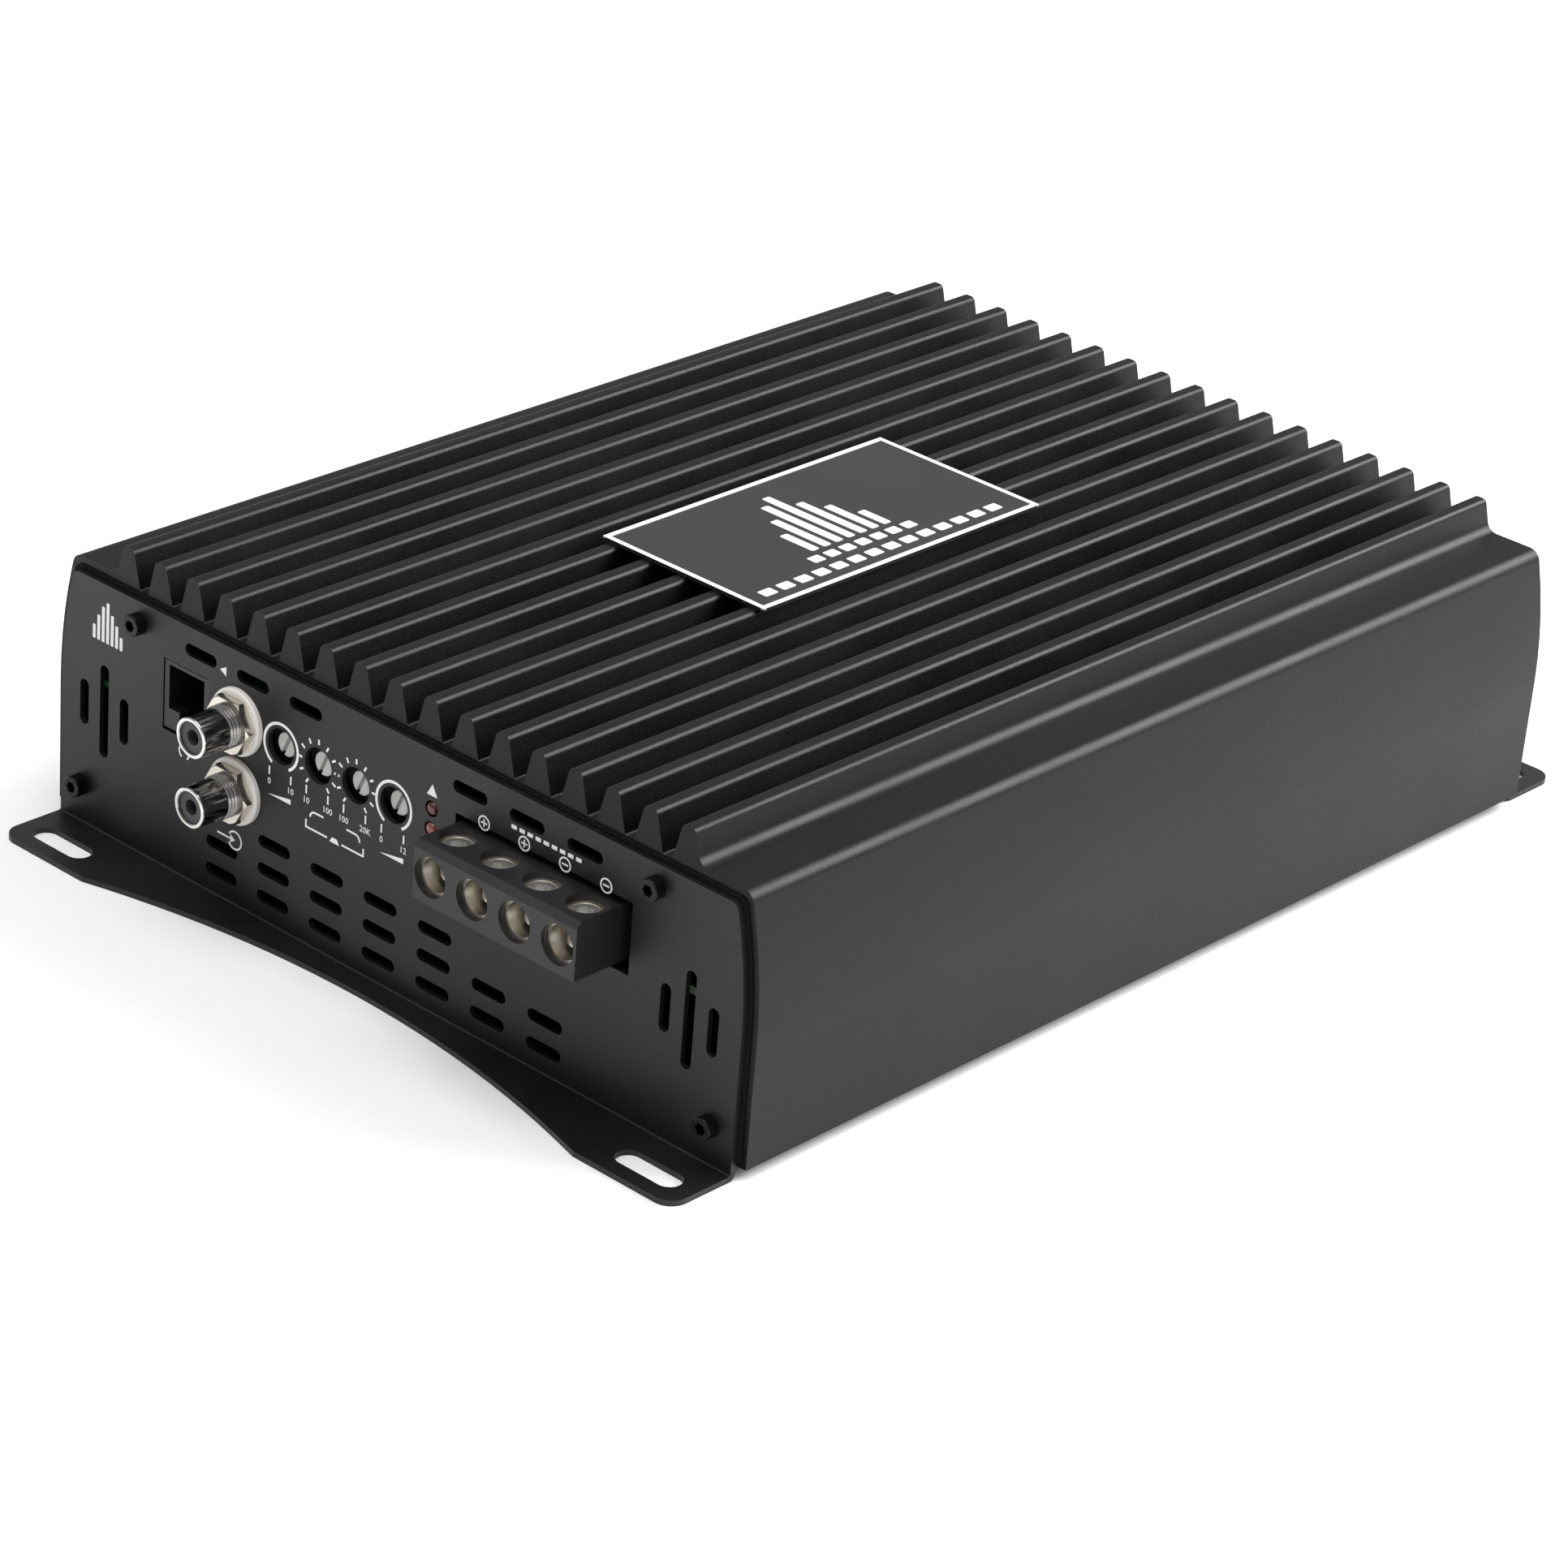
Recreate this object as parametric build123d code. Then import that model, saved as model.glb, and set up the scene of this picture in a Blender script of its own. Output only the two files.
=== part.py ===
from build123d import *
import os
from math import asin, cos, sin

# Car amplifier, a compact single-channel power amplifier for a subwoofer.
# Millimetres. Z up from the surface that the mounting feet stand on, X along the end panels,
# and the connector panel at the -Y end. The origin is the centre of the footprint.

# ---- driving dimensions: extruded heatsink case ----
FIN_PITCH = 9.5
FIN_COUNT = 17
FIN_TOP_WIDTH = 3.0
FIN_ROOT_WIDTH = 7.2
FIN_TIP_R = 1.15
VALLEY_R = 0.6
END_FIN_R = 2.6
CASE_LENGTH = 240.0
CASE_BOTTOM_Z = 2.8
VALLEY_Z = 57.0
FIN_TOP_Z = 65.0
SHOULDER_Z = 58.4
CASE_HALF_WIDTH = 96.0
CASE_FOOT_INSET = 0.2
SIDE_STRAIGHT_Z = 30.0
SIDE_ARC_R = 103.0
SIDE_ARC_TOP_Z = 54.5
SHOULDER_R = 2.8
CAVITY_HALF_WIDTH = 92.8
CAVITY_TOP_HALF_WIDTH = 90.3
CAVITY_SLOPE_Z = 38.0
CAVITY_TOP_Z = 52.5
LEDGE_TOP_Z = 6.2
LEDGE_BOTTOM_Z = 4.4
LEDGE_INNER_X = 83.5
BOSS_R = 3.5
WEB_HALF = 1.5

# ---- end panels: folded steel sheet with a foot ----
SHEET = 1.2
GASKET = 0.4
BEND_INNER_R = 0.4
PANEL_INSET = 2.4
PANEL_TOP_Z = 55.8
PANEL_CORNER_R = 2.0
FOOT_EDGE_Y = 17.1
FOOT_WAIST_Y = 6.8
FOOT_KINK_X = 68.7
FOOT_CORNER_R = 4.0
FOOT_SLOT_X = 82.0
FOOT_SLOT_Y = 10.8
FOOT_SLOT_LENGTH = 15.5
FOOT_SLOT_WIDTH = 5.5
GASKET_LIP = 1.0
GASKET_BAND = 4.5
GASKET_FOOT_BAND = 1.2

# ---- vent slots ----
VENT_WIDTH = 2.6
VENT_LENGTH = 9.1
VENT_PITCH_X = 15.0
VENT_PITCH_Z = 6.0
VENT_ROWS_Z = (6.3, 12.3)
VENT_SHORT_ROW_Z = 18.3
VENT_TOP_Z = 51.0
SIDE_VENT_X = 80.7
SIDE_VENT_Z = 28.1
SIDE_VENT_LONG = 20.2
SIDE_VENT_SHORT = 9.9

# ---- panel screws, M2.5 socket cap ----
PANEL_SCREWS = ((-70.7, 51.2), (70.7, 51.2), (-87.6, 9.3), (87.6, 9.3))
CAP_HEAD_R = 2.3
CAP_HEAD_H = 2.5
CAP_HEX_AF = 2.2
CAP_SHANK_R = 1.25
CAP_SHANK_LENGTH = 9.0
SCREW_CLEARANCE = 0.05

# ---- bottom cover ----
COVER_T = 1.2
COVER_Z = 3.2
COVER_SCREW_Y = (-90.0, 0.0, 90.0)
COVER_SCREW_X = 88.0
COVER_HOLE_TOP_Z = 9.8
M3_SHANK_R = 1.5
M3_HEAD_R = 2.75
M3_HEAD_H = 1.8

# ---- screws that clamp the power transistors to the side walls ----
BAR_SCREW_Y = (-60.0, 0.0, 60.0)
BAR_SCREW_Z = 21.0
BAR_SCREW_TIP_X = 95.0

# ---- badge plate on the fin tips ----
BADGE_WIDTH = 44.0
BADGE_LENGTH = 83.0
BADGE_T = 0.8
BADGE_Y = -1.5
BADGE_R = 0.8

# ---- boards ----
BOARD_T = 1.6
BOARD_TOP_Z = 31.9
BOARD_HALF_WIDTH = 91.0
BOARD_FRONT_Y = -117.0
BOARD_REAR_Y = 117.0
STANDOFF_AF = 5.5
STANDOFFS = tuple((x, y) for x in (-62.0, 62.0) for y in (-86.0, 0.0, 86.0))

# ---- connectors on the front panel ----
RCA_X = -41.3
RCA_ROWS_Z = (41.2, 26.2)
REMOTE_X = -56.6
REMOTE_Z = 39.0
REMOTE_WIDTH = 13.2
REMOTE_HEIGHT = 15.4
POT_NAMES = ("gain", "high_pass", "low_pass", "bass_boost")
POT_FIRST_X = -29.0
POT_PITCH = 10.5
POT_Z = 40.4
POT_HOLE_R = 3.75
POT_SHAFT_R = 2.5
POT_FACE_Y = -120.1
POT_SLOT_ANGLE = 65.0
LED_X = 12.6
LED_ROWS_Z = (43.7, 39.4)
LED_R = 1.5

# ---- screw terminal blocks ----
WAY_PITCH = 11.1
BLOCK_SIDE = 4.55
BLOCK_DEPTH = 20.9
BLOCK_FRONT_Y = -132.9
BLOCK_TOP_Z = 43.9
BLOCK_BOTTOM_Z = BOARD_TOP_Z
BLOCK_BEVEL = 1.3
BLOCK_EDGE_R = 0.3
SPEAKER_WAYS = 4
SPEAKER_X = 41.0
POWER_WAYS = 3
WIRE_Z = 37.7
WIRE_ENTRY_R = 4.1
WIRE_BORE_R = 3.5
DRIVER_HOLE_R = 3.8
DRIVER_Y = -126.0
CLAMP_WIDTH = 7.9
CLAMP_BOTTOM_Z = 33.1
CLAMP_TOP_Z = 42.5
CLAMP_FRONT_Y = -131.3
CLAMP_BACK_Y = -119.1
TAIL_Y = -114.8
TERMINAL_SCREW_R = 2.95
TERMINAL_SCREW_BOTTOM_Z = 35.6
TERMINAL_SCREW_TOP_Z = 42.4
TERMINAL_HEX_AF = 3.0
PAD_R = 1.5
PAD_BOTTOM_Z = 34.75
PAD_TOP_Z = 35.55
PAD_STEM_R = 0.7

FRONT_Y = -CASE_LENGTH / 2
PANEL_BACK_Y = FRONT_Y - GASKET
PANEL_FACE_Y = PANEL_BACK_Y - SHEET

os.makedirs("parts", exist_ok=True)


def write(name, *solids):
    """Write one node: one solid, or a group of separate solids."""
    shapes = [s for item in solids for s in item.solids()]
    shape = shapes[0] if len(shapes) == 1 else Compound(children=shapes)
    export_step(shape, f"parts/{name}.step")


def block(x0, x1, y0, y1, z0, z1):
    """A box between two corners."""
    return Pos((x0 + x1) / 2, (y0 + y1) / 2, (z0 + z1) / 2) * Box(x1 - x0, y1 - y0, z1 - z0)


def rod_y(x, z, r, y0, y1):
    """A round bar along Y."""
    return Pos(x, (y0 + y1) / 2, z) * Rot(90, 0, 0) * Cylinder(r, y1 - y0)


def rod_z(x, y, r, z0, z1):
    """A round bar along Z."""
    return Pos(x, y, (z0 + z1) / 2) * Cylinder(r, z1 - z0)


def rod_x(y, z, r, x0, x1):
    """A round bar along X."""
    return Pos((x0 + x1) / 2, y, z) * Rot(0, 90, 0) * Cylinder(r, x1 - x0)


def along_x(sketch, x0, x1):
    """A sketch drawn on YZ, extruded from x0 to x1."""
    return extrude(Plane.YZ.offset(x0) * sketch, x1 - x0, dir=(1, 0, 0))


def along_y(sketch, y0, y1):
    """A sketch drawn on XZ, extruded from y0 to y1."""
    return extrude(Plane.XZ.offset(-y0) * sketch, y1 - y0, dir=(0, 1, 0))


def along_z(sketch, z0, z1):
    """A sketch drawn on XY, extruded from z0 to z1."""
    return extrude(Plane.XY.offset(z0) * sketch, z1 - z0, dir=(0, 0, 1))


def hex_y(x, z, af, y0, y1):
    """A hexagonal bar along Y, across flats af."""
    return along_y(Pos(x, z) * RegularPolygon(af / 2, 6, major_radius=False), y0, y1)


def hex_z(x, y, af, z0, z1):
    """A hexagonal bar along Z, across flats af."""
    return along_z(Pos(x, y) * RegularPolygon(af / 2, 6, major_radius=False), z0, z1)


def oblong_y(x, z, length, width, vertical, y0, y1):
    """A round-ended slot cutter through a panel."""
    turn = 90 if vertical else 0
    return along_y(Pos(x, z) * Rot(0, 0, turn) * SlotOverall(length, width), y0, y1)


def at_rear(shape):
    """The same shape turned to the other end of the case."""
    return Rot(0, 0, 180) * shape


def side_outline(inset, top_z, arc_top_z):
    """The right-hand edge of the case section, moved in by inset, up to its top corner."""
    wide = CASE_HALF_WIDTH - inset
    radius = SIDE_ARC_R - inset
    turn = asin((arc_top_z - SIDE_STRAIGHT_Z) / radius)
    arc_mid = (wide - radius * (1 - cos(turn / 2)), SIDE_STRAIGHT_Z + radius * sin(turn / 2))
    arc_end = (wide - radius * (1 - cos(turn)), arc_top_z)
    lean = sin(turn) / cos(turn)
    corner = (arc_end[0] - (top_z - arc_top_z) * lean, top_z)
    return wide, arc_mid, arc_end, corner


def mirrored(points):
    """The points reflected in X, in reverse order."""
    return [(-x, z) for x, z in reversed(points)]


def case_section():
    """Section of the extrusion, drawn on XZ."""
    wide, arc_mid, arc_end, corner = side_outline(0, SHOULDER_Z, SIDE_ARC_TOP_Z)
    foot = (wide - CASE_FOOT_INSET, CASE_BOTTOM_Z)
    knee = (wide, SIDE_STRAIGHT_Z)
    flank = (FIN_ROOT_WIDTH - FIN_TOP_WIDTH) / 2 / (FIN_TOP_Z - VALLEY_Z)
    last_x = FIN_PITCH * (FIN_COUNT - 1) / 2
    shoulder_root = last_x + FIN_TOP_WIDTH / 2 + flank * (FIN_TOP_Z - SHOULDER_Z)
    top = [mirrored([arc_end])[0], mirrored([corner])[0], (-shoulder_root, SHOULDER_Z)]
    radii = [SHOULDER_R, END_FIN_R]
    for k in range(FIN_COUNT):
        x = -last_x + k * FIN_PITCH
        if k > 0:
            top.append((x - FIN_ROOT_WIDTH / 2, VALLEY_Z))
            radii.append(VALLEY_R)
        top.append((x - FIN_TOP_WIDTH / 2, FIN_TOP_Z))
        top.append((x + FIN_TOP_WIDTH / 2, FIN_TOP_Z))
        radii += [FIN_TIP_R, FIN_TIP_R]
        if k < FIN_COUNT - 1:
            top.append((x + FIN_ROOT_WIDTH / 2, VALLEY_Z))
            radii.append(VALLEY_R)
    top += [(shoulder_root, SHOULDER_Z), corner, arc_end]
    radii += [END_FIN_R, SHOULDER_R]
    edges = FilletPolyline(*top, radius=radii)
    edges += ThreePointArc(arc_end, arc_mid, knee)
    edges += Polyline(knee, foot, mirrored([foot])[0], mirrored([knee])[0])
    edges += ThreePointArc(*mirrored([arc_end, arc_mid, knee]))
    return make_face(edges)


def panel_face(inset, top_z, bottom_z):
    """The outline that the panels and gaskets share, as a face."""
    wide, arc_mid, arc_end, corner = side_outline(inset, top_z, top_z - 2 * PANEL_CORNER_R)
    top = [mirrored([arc_end])[0], mirrored([corner])[0], corner, arc_end]
    knee = (wide, SIDE_STRAIGHT_Z)
    edges = FilletPolyline(*top, radius=PANEL_CORNER_R)
    edges += ThreePointArc(arc_end, arc_mid, knee)
    edges += Polyline(knee, (wide, bottom_z), (-wide, bottom_z), (-wide, SIDE_STRAIGHT_Z))
    edges += ThreePointArc(*mirrored([arc_end, arc_mid, knee]))
    return make_face(edges)


# ---- heatsink case ----
def heatsink_case():
    case = along_y(case_section(), FRONT_Y, -FRONT_Y)
    half = CASE_LENGTH / 2 + 1
    section = [
        (-CAVITY_HALF_WIDTH, LEDGE_TOP_Z),
        (-CAVITY_HALF_WIDTH, CAVITY_SLOPE_Z),
        (-CAVITY_TOP_HALF_WIDTH, CAVITY_TOP_Z),
        (CAVITY_TOP_HALF_WIDTH, CAVITY_TOP_Z),
        (CAVITY_HALF_WIDTH, CAVITY_SLOPE_Z),
        (CAVITY_HALF_WIDTH, LEDGE_TOP_Z),
    ]
    case -= along_y(make_face(Polyline(*section, close=True)), -half, half)
    rebate_x = CAVITY_HALF_WIDTH
    case -= block(-rebate_x, rebate_x, -half, half, CASE_BOTTOM_Z - 1, LEDGE_BOTTOM_Z)
    case -= block(-LEDGE_INNER_X, LEDGE_INNER_X, -half, half, CASE_BOTTOM_Z, LEDGE_TOP_Z + 0.5)
    for x, z in PANEL_SCREWS:
        case += rod_y(x, z, BOSS_R, FRONT_Y, -FRONT_Y)
        if abs(x) > CAVITY_HALF_WIDTH - 2 * BOSS_R:
            side = 1 if x > 0 else -1
            low, high = sorted((x, side * (CAVITY_HALF_WIDTH + 0.5)))
            case += block(low, high, FRONT_Y, -FRONT_Y, z - WEB_HALF, z + WEB_HALF)
    hole_r = CAP_SHANK_R + SCREW_CLEARANCE
    for x, z in PANEL_SCREWS:
        hole = rod_y(x, z, hole_r, FRONT_Y - 1, PANEL_FACE_Y + CAP_SHANK_LENGTH + 1)
        case -= hole
        case -= at_rear(hole)
    for x in (-COVER_SCREW_X, COVER_SCREW_X):
        for y in COVER_SCREW_Y:
            case -= rod_z(x, y, M3_SHANK_R + SCREW_CLEARANCE, CASE_BOTTOM_Z, COVER_HOLE_TOP_Z)
    for y in BAR_SCREW_Y:
        tapped_r = M3_SHANK_R + SCREW_CLEARANCE
        tapped = rod_x(y, BAR_SCREW_Z, tapped_r, CAVITY_HALF_WIDTH - 1, BAR_SCREW_TIP_X + 0.1)
        case -= tapped
        case -= mirror(tapped, Plane.YZ)
    return case


# ---- end panels ----
def bare_panel():
    """The folded sheet of the front panel, with its foot, vents and screw holes."""
    heel = PANEL_BACK_Y
    toe = FRONT_Y - FOOT_EDGE_Y
    fold = FilletPolyline(
        (heel, PANEL_TOP_Z), (heel, 0), (toe, 0), radius=BEND_INNER_R + SHEET
    )
    fold += Line((toe, 0), (toe, SHEET))
    fold += FilletPolyline(
        (toe, SHEET), (PANEL_FACE_Y, SHEET), (PANEL_FACE_Y, PANEL_TOP_Z), radius=BEND_INNER_R
    )
    fold += Line((PANEL_FACE_Y, PANEL_TOP_Z), (heel, PANEL_TOP_Z))
    wide = CASE_HALF_WIDTH - PANEL_INSET
    sheet = along_x(make_face(fold), -wide, wide)
    upright = along_y(panel_face(PANEL_INSET, PANEL_TOP_Z, -1.0), toe - 1, FRONT_Y)
    waist = FRONT_Y - FOOT_WAIST_Y
    past = FRONT_Y + 2 * FOOT_CORNER_R
    edge = FilletPolyline(
        (-FOOT_KINK_X, toe), (-wide, toe), (-wide, past), (wide, past), (wide, toe),
        (FOOT_KINK_X, toe), radius=FOOT_CORNER_R
    )
    edge += ThreePointArc((FOOT_KINK_X, toe), (0, waist), (-FOOT_KINK_X, toe))
    panel = sheet & upright & along_z(make_face(edge), -1, PANEL_TOP_Z + 1)
    for x in (-FOOT_SLOT_X, FOOT_SLOT_X):
        slot = Pos(x, FRONT_Y - FOOT_SLOT_Y) * SlotOverall(FOOT_SLOT_LENGTH, FOOT_SLOT_WIDTH)
        panel -= along_z(slot, -1, SHEET + 1)
    hole_y = (PANEL_FACE_Y - 1, PANEL_BACK_Y + 1)
    for x, z in PANEL_SCREWS:
        panel -= rod_y(x, z, CAP_SHANK_R + 0.15, *hole_y)
    for column in range(-3, 4):
        for z in VENT_ROWS_Z:
            panel -= oblong_y(column * VENT_PITCH_X, z, VENT_LENGTH, VENT_WIDTH, False, *hole_y)
    for side in (-1, 1):
        for k in range(3):
            x = side * (k + 1.5) * VENT_PITCH_X
            panel -= oblong_y(x, VENT_TOP_Z, VENT_LENGTH, VENT_WIDTH, False, *hole_y)
        for step, length in ((-1, SIDE_VENT_SHORT), (0, SIDE_VENT_LONG), (1, SIDE_VENT_SHORT)):
            x = side * SIDE_VENT_X + step * VENT_PITCH_Z
            panel -= oblong_y(x, SIDE_VENT_Z, length, VENT_WIDTH, True, *hole_y)
    return panel


def block_opening(ways, x, margin_low, margin_high):
    """The panel cut-out that a terminal block comes through."""
    half = (ways - 1) * WAY_PITCH / 2 + BLOCK_SIDE
    return block(
        x - half - margin_low, x + half + margin_high,
        PANEL_FACE_Y - 1, PANEL_BACK_Y + 1, BLOCK_BOTTOM_Z - 1.3, BLOCK_TOP_Z + 1.6
    )


def front_panel():
    panel = bare_panel()
    hole_y = (PANEL_FACE_Y - 1, PANEL_BACK_Y + 1)
    for column in range(-2, 2):
        x = column * VENT_PITCH_X
        panel -= oblong_y(x, VENT_SHORT_ROW_Z, VENT_LENGTH, VENT_WIDTH, False, *hole_y)
    for z in RCA_ROWS_Z:
        panel -= rod_y(RCA_X, z, 4.6, *hole_y)
    for k in range(len(POT_NAMES)):
        panel -= rod_y(POT_FIRST_X + k * POT_PITCH, POT_Z, POT_HOLE_R, *hole_y)
    for z in LED_ROWS_Z:
        panel -= rod_y(LED_X, z, LED_R + 0.15, *hole_y)
    half_w = REMOTE_WIDTH / 2
    half_h = REMOTE_HEIGHT / 2
    panel -= block(REMOTE_X - half_w, REMOTE_X + half_w, *hole_y, REMOTE_Z - half_h, REMOTE_Z + half_h)
    panel -= block_opening(SPEAKER_WAYS, SPEAKER_X, 0.8, 3.0)
    return panel


def rear_panel():
    return at_rear(bare_panel() - block_opening(POWER_WAYS, 0, 0.8, 0.8))


def gasket():
    """Black foam strip between the case end and the panel."""
    inset = PANEL_INSET - GASKET_LIP
    top_z = PANEL_TOP_Z + GASKET_LIP
    outer = panel_face(inset, top_z, COVER_Z)
    inner = panel_face(inset + GASKET_BAND, top_z - GASKET_BAND, COVER_Z + GASKET_FOOT_BAND)
    strip = along_y(outer, PANEL_BACK_Y, FRONT_Y) - along_y(inner, PANEL_BACK_Y - 1, FRONT_Y + 1)
    for x, z in PANEL_SCREWS:
        strip += rod_y(x, z, BOSS_R, PANEL_BACK_Y, FRONT_Y)
        strip -= rod_y(x, z, CAP_SHANK_R + 0.15, PANEL_BACK_Y - 1, FRONT_Y + 1)
    return strip


def cap_screw(x, z):
    """Hexagon socket cap screw, head outside the panel."""
    head = rod_y(x, z, CAP_HEAD_R, PANEL_FACE_Y - CAP_HEAD_H, PANEL_FACE_Y)
    rim = head.edges().filter_by(GeomType.CIRCLE).sort_by(Axis.Y)[0]
    head = fillet(rim, 0.25)
    head += rod_y(x, z, CAP_SHANK_R, PANEL_FACE_Y, PANEL_FACE_Y + CAP_SHANK_LENGTH)
    head -= hex_y(x, z, CAP_HEX_AF, PANEL_FACE_Y - CAP_HEAD_H - 1, PANEL_FACE_Y - 0.9)
    return head


write("heatsink_case", heatsink_case())
write("front_panel", front_panel())
write("rear_panel", rear_panel())
write("front_gasket", gasket())
write("rear_gasket", at_rear(gasket()))
write("front_panel_screws", *[cap_screw(x, z) for x, z in PANEL_SCREWS])
write("rear_panel_screws", *[at_rear(cap_screw(x, z)) for x, z in PANEL_SCREWS])


# ---- bottom cover and its screws ----
def bottom_cover():
    wide = CAVITY_HALF_WIDTH - 0.3
    end = -FRONT_Y - 0.5
    plate = along_z(RectangleRounded(2 * wide, 2 * end, 1.0), COVER_Z, COVER_Z + COVER_T)
    for x in (-COVER_SCREW_X, COVER_SCREW_X):
        for y in COVER_SCREW_Y:
            plate -= rod_z(x, y, M3_SHANK_R + 0.2, COVER_Z - 1, COVER_Z + COVER_T + 1)
    return plate


def pan_screw_up(x, y, under_z, shank, head_r, head_h):
    """Pan head screw driven upwards, its head under the plane under_z."""
    head = rod_z(x, y, head_r, under_z - head_h, under_z)
    head = fillet(head.edges().filter_by(GeomType.CIRCLE).sort_by(Axis.Z)[0], head_h * 0.45)
    head += rod_z(x, y, M3_SHANK_R, under_z, under_z + shank)
    recess = block(x - 1.6, x + 1.6, y - 0.3, y + 0.3, under_z - head_h - 1, under_z - head_h + 1.1)
    return head - recess - Pos(x, y) * Rot(0, 0, 90) * Pos(-x, -y) * recess


write("bottom_cover", bottom_cover())
write("bottom_cover_screws", *[
    pan_screw_up(x, y, COVER_Z, 5.5, M3_HEAD_R, M3_HEAD_H)
    for x in (-COVER_SCREW_X, COVER_SCREW_X) for y in COVER_SCREW_Y
])


# ---- badge plate ----
badge = along_z(RectangleRounded(BADGE_WIDTH, BADGE_LENGTH, BADGE_R), FIN_TOP_Z, FIN_TOP_Z + BADGE_T)
write("badge_plate", Pos(0, BADGE_Y) * badge)


# ---- main board with its standoffs ----
BOARD_Z = BOARD_TOP_Z - BOARD_T
NOTCH_HALF = 8.2
NOTCH_BACK_Y = -105.0


def board_hole(x, y, r):
    return rod_z(x, y, r, BOARD_Z - 1, BOARD_TOP_Z + 1)


def main_board():
    board = block(-BOARD_HALF_WIDTH, BOARD_HALF_WIDTH, BOARD_FRONT_Y, BOARD_REAR_Y, BOARD_Z, BOARD_TOP_Z)
    notch_x = (RCA_X - NOTCH_HALF, RCA_X + NOTCH_HALF)
    board -= block(*notch_x, BOARD_FRONT_Y - 1, NOTCH_BACK_Y, BOARD_Z - 1, BOARD_TOP_Z + 1)
    for x, y in STANDOFFS:
        board -= board_hole(x, y, M3_SHANK_R + 0.2)
    return board


def standoff(x, y):
    post = hex_z(x, y, STANDOFF_AF, BOARD_TOP_Z, CAVITY_TOP_Z)
    return post - rod_z(x, y, M3_SHANK_R + SCREW_CLEARANCE, BOARD_TOP_Z - 1, BOARD_TOP_Z + 9)


write("main_board", main_board())
write("board_standoffs", *[standoff(x, y) for x, y in STANDOFFS])
write("board_screws", *[pan_screw_up(x, y, BOARD_Z, 7.0, M3_HEAD_R, M3_HEAD_H) for x, y in STANDOFFS])


# ---- phono input jacks: washers, nuts, shells, insulators, contacts and their board ----
WASHER_R = 7.0
WASHER_T = 1.2
NUT_AF = 11.0
NUT_T = 2.2
NUT_CORNER_R = 6.3
NUT_CORNER_CHAMFER = 0.5
RCA_THREAD_R = 4.5
RCA_BARREL_R = 4.2
RCA_BARREL_BORE_R = 3.3
RCA_LIP_Y = -133.8
RCA_THREAD_Y = -127.2
RCA_BACK_Y = -112.0
RCA_FLANGE_Y = (-119.2, -117.7)
RCA_PIN_BORE_R = 1.62
RCA_CONTACT_R = 2.2
RCA_CONTACT_Y = -130.3
RCA_TAIL_Y = -108.6
RCA_FIT = 0.02


def rca_shell(z):
    shell = rod_y(RCA_X, z, RCA_BARREL_R, RCA_LIP_Y, RCA_THREAD_Y)
    lip = shell.edges().filter_by(GeomType.CIRCLE).sort_by(Axis.Y)[0]
    shell = fillet(lip, 0.35)
    shell += rod_y(RCA_X, z, RCA_THREAD_R, RCA_THREAD_Y, RCA_BACK_Y)
    shell += rod_y(RCA_X, z, 6.2, *RCA_FLANGE_Y)
    return shell - rod_y(RCA_X, z, RCA_BARREL_BORE_R, RCA_LIP_Y - 1, RCA_BACK_Y + 1)


def rca_insulator(z):
    body = rod_y(RCA_X, z, RCA_BARREL_BORE_R, RCA_LIP_Y + 0.6, RCA_BACK_Y)
    body -= rod_y(RCA_X, z, RCA_PIN_BORE_R, RCA_LIP_Y - 1, RCA_BACK_Y + 1)
    return body - rod_y(RCA_X, z, RCA_CONTACT_R, RCA_CONTACT_Y, RCA_BACK_Y + 1)


def rca_contact(z):
    tube = rod_y(RCA_X, z, RCA_CONTACT_R, RCA_CONTACT_Y, RCA_BACK_Y)
    tube -= rod_y(RCA_X, z, RCA_PIN_BORE_R, RCA_LIP_Y, RCA_BACK_Y - 2)
    return tube + rod_y(RCA_X, z, 0.6, RCA_BACK_Y, RCA_TAIL_Y)


def rca_nut(z):
    face = PANEL_FACE_Y - WASHER_T
    turned = rod_y(RCA_X, z, NUT_CORNER_R, face - NUT_T, face)
    turned = chamfer(turned.edges().filter_by(GeomType.CIRCLE), NUT_CORNER_CHAMFER)
    nut = hex_y(RCA_X, z, NUT_AF, face - NUT_T, face) & turned
    return nut - rod_y(RCA_X, z, RCA_THREAD_R + RCA_FIT, face - NUT_T - 1, face + 1)


def rca_washers(z):
    bore = rod_y(RCA_X, z, RCA_THREAD_R + RCA_FIT, PANEL_FACE_Y - 5, PANEL_BACK_Y + 5)
    outer = rod_y(RCA_X, z, WASHER_R, PANEL_FACE_Y - WASHER_T, PANEL_FACE_Y)
    outer = fillet(outer.edges().filter_by(GeomType.CIRCLE).sort_by(Axis.Y)[0], 0.5)
    inner = rod_y(RCA_X, z, WASHER_R, PANEL_BACK_Y, RCA_FLANGE_Y[0])
    return outer - bore, inner - bore


write("rca_shells", *[rca_shell(z) for z in RCA_ROWS_Z])
write("rca_insulators", *[rca_insulator(z) for z in RCA_ROWS_Z])
write("rca_centre_contacts", *[rca_contact(z) for z in RCA_ROWS_Z])
write("rca_nuts", *[rca_nut(z) for z in RCA_ROWS_Z])
write("rca_washers", *[washer for z in RCA_ROWS_Z for washer in rca_washers(z)])

RCA_BOARD_HALF = 7.6
input_board = block(
    RCA_X - RCA_BOARD_HALF, RCA_X + RCA_BOARD_HALF, RCA_BACK_Y, RCA_BACK_Y + BOARD_T, 17.5, 49.5
)
for z in RCA_ROWS_Z:
    input_board -= rod_y(RCA_X, z, 0.65, RCA_BACK_Y - 1, RCA_BACK_Y + BOARD_T + 1)
write("input_board", input_board)

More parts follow.
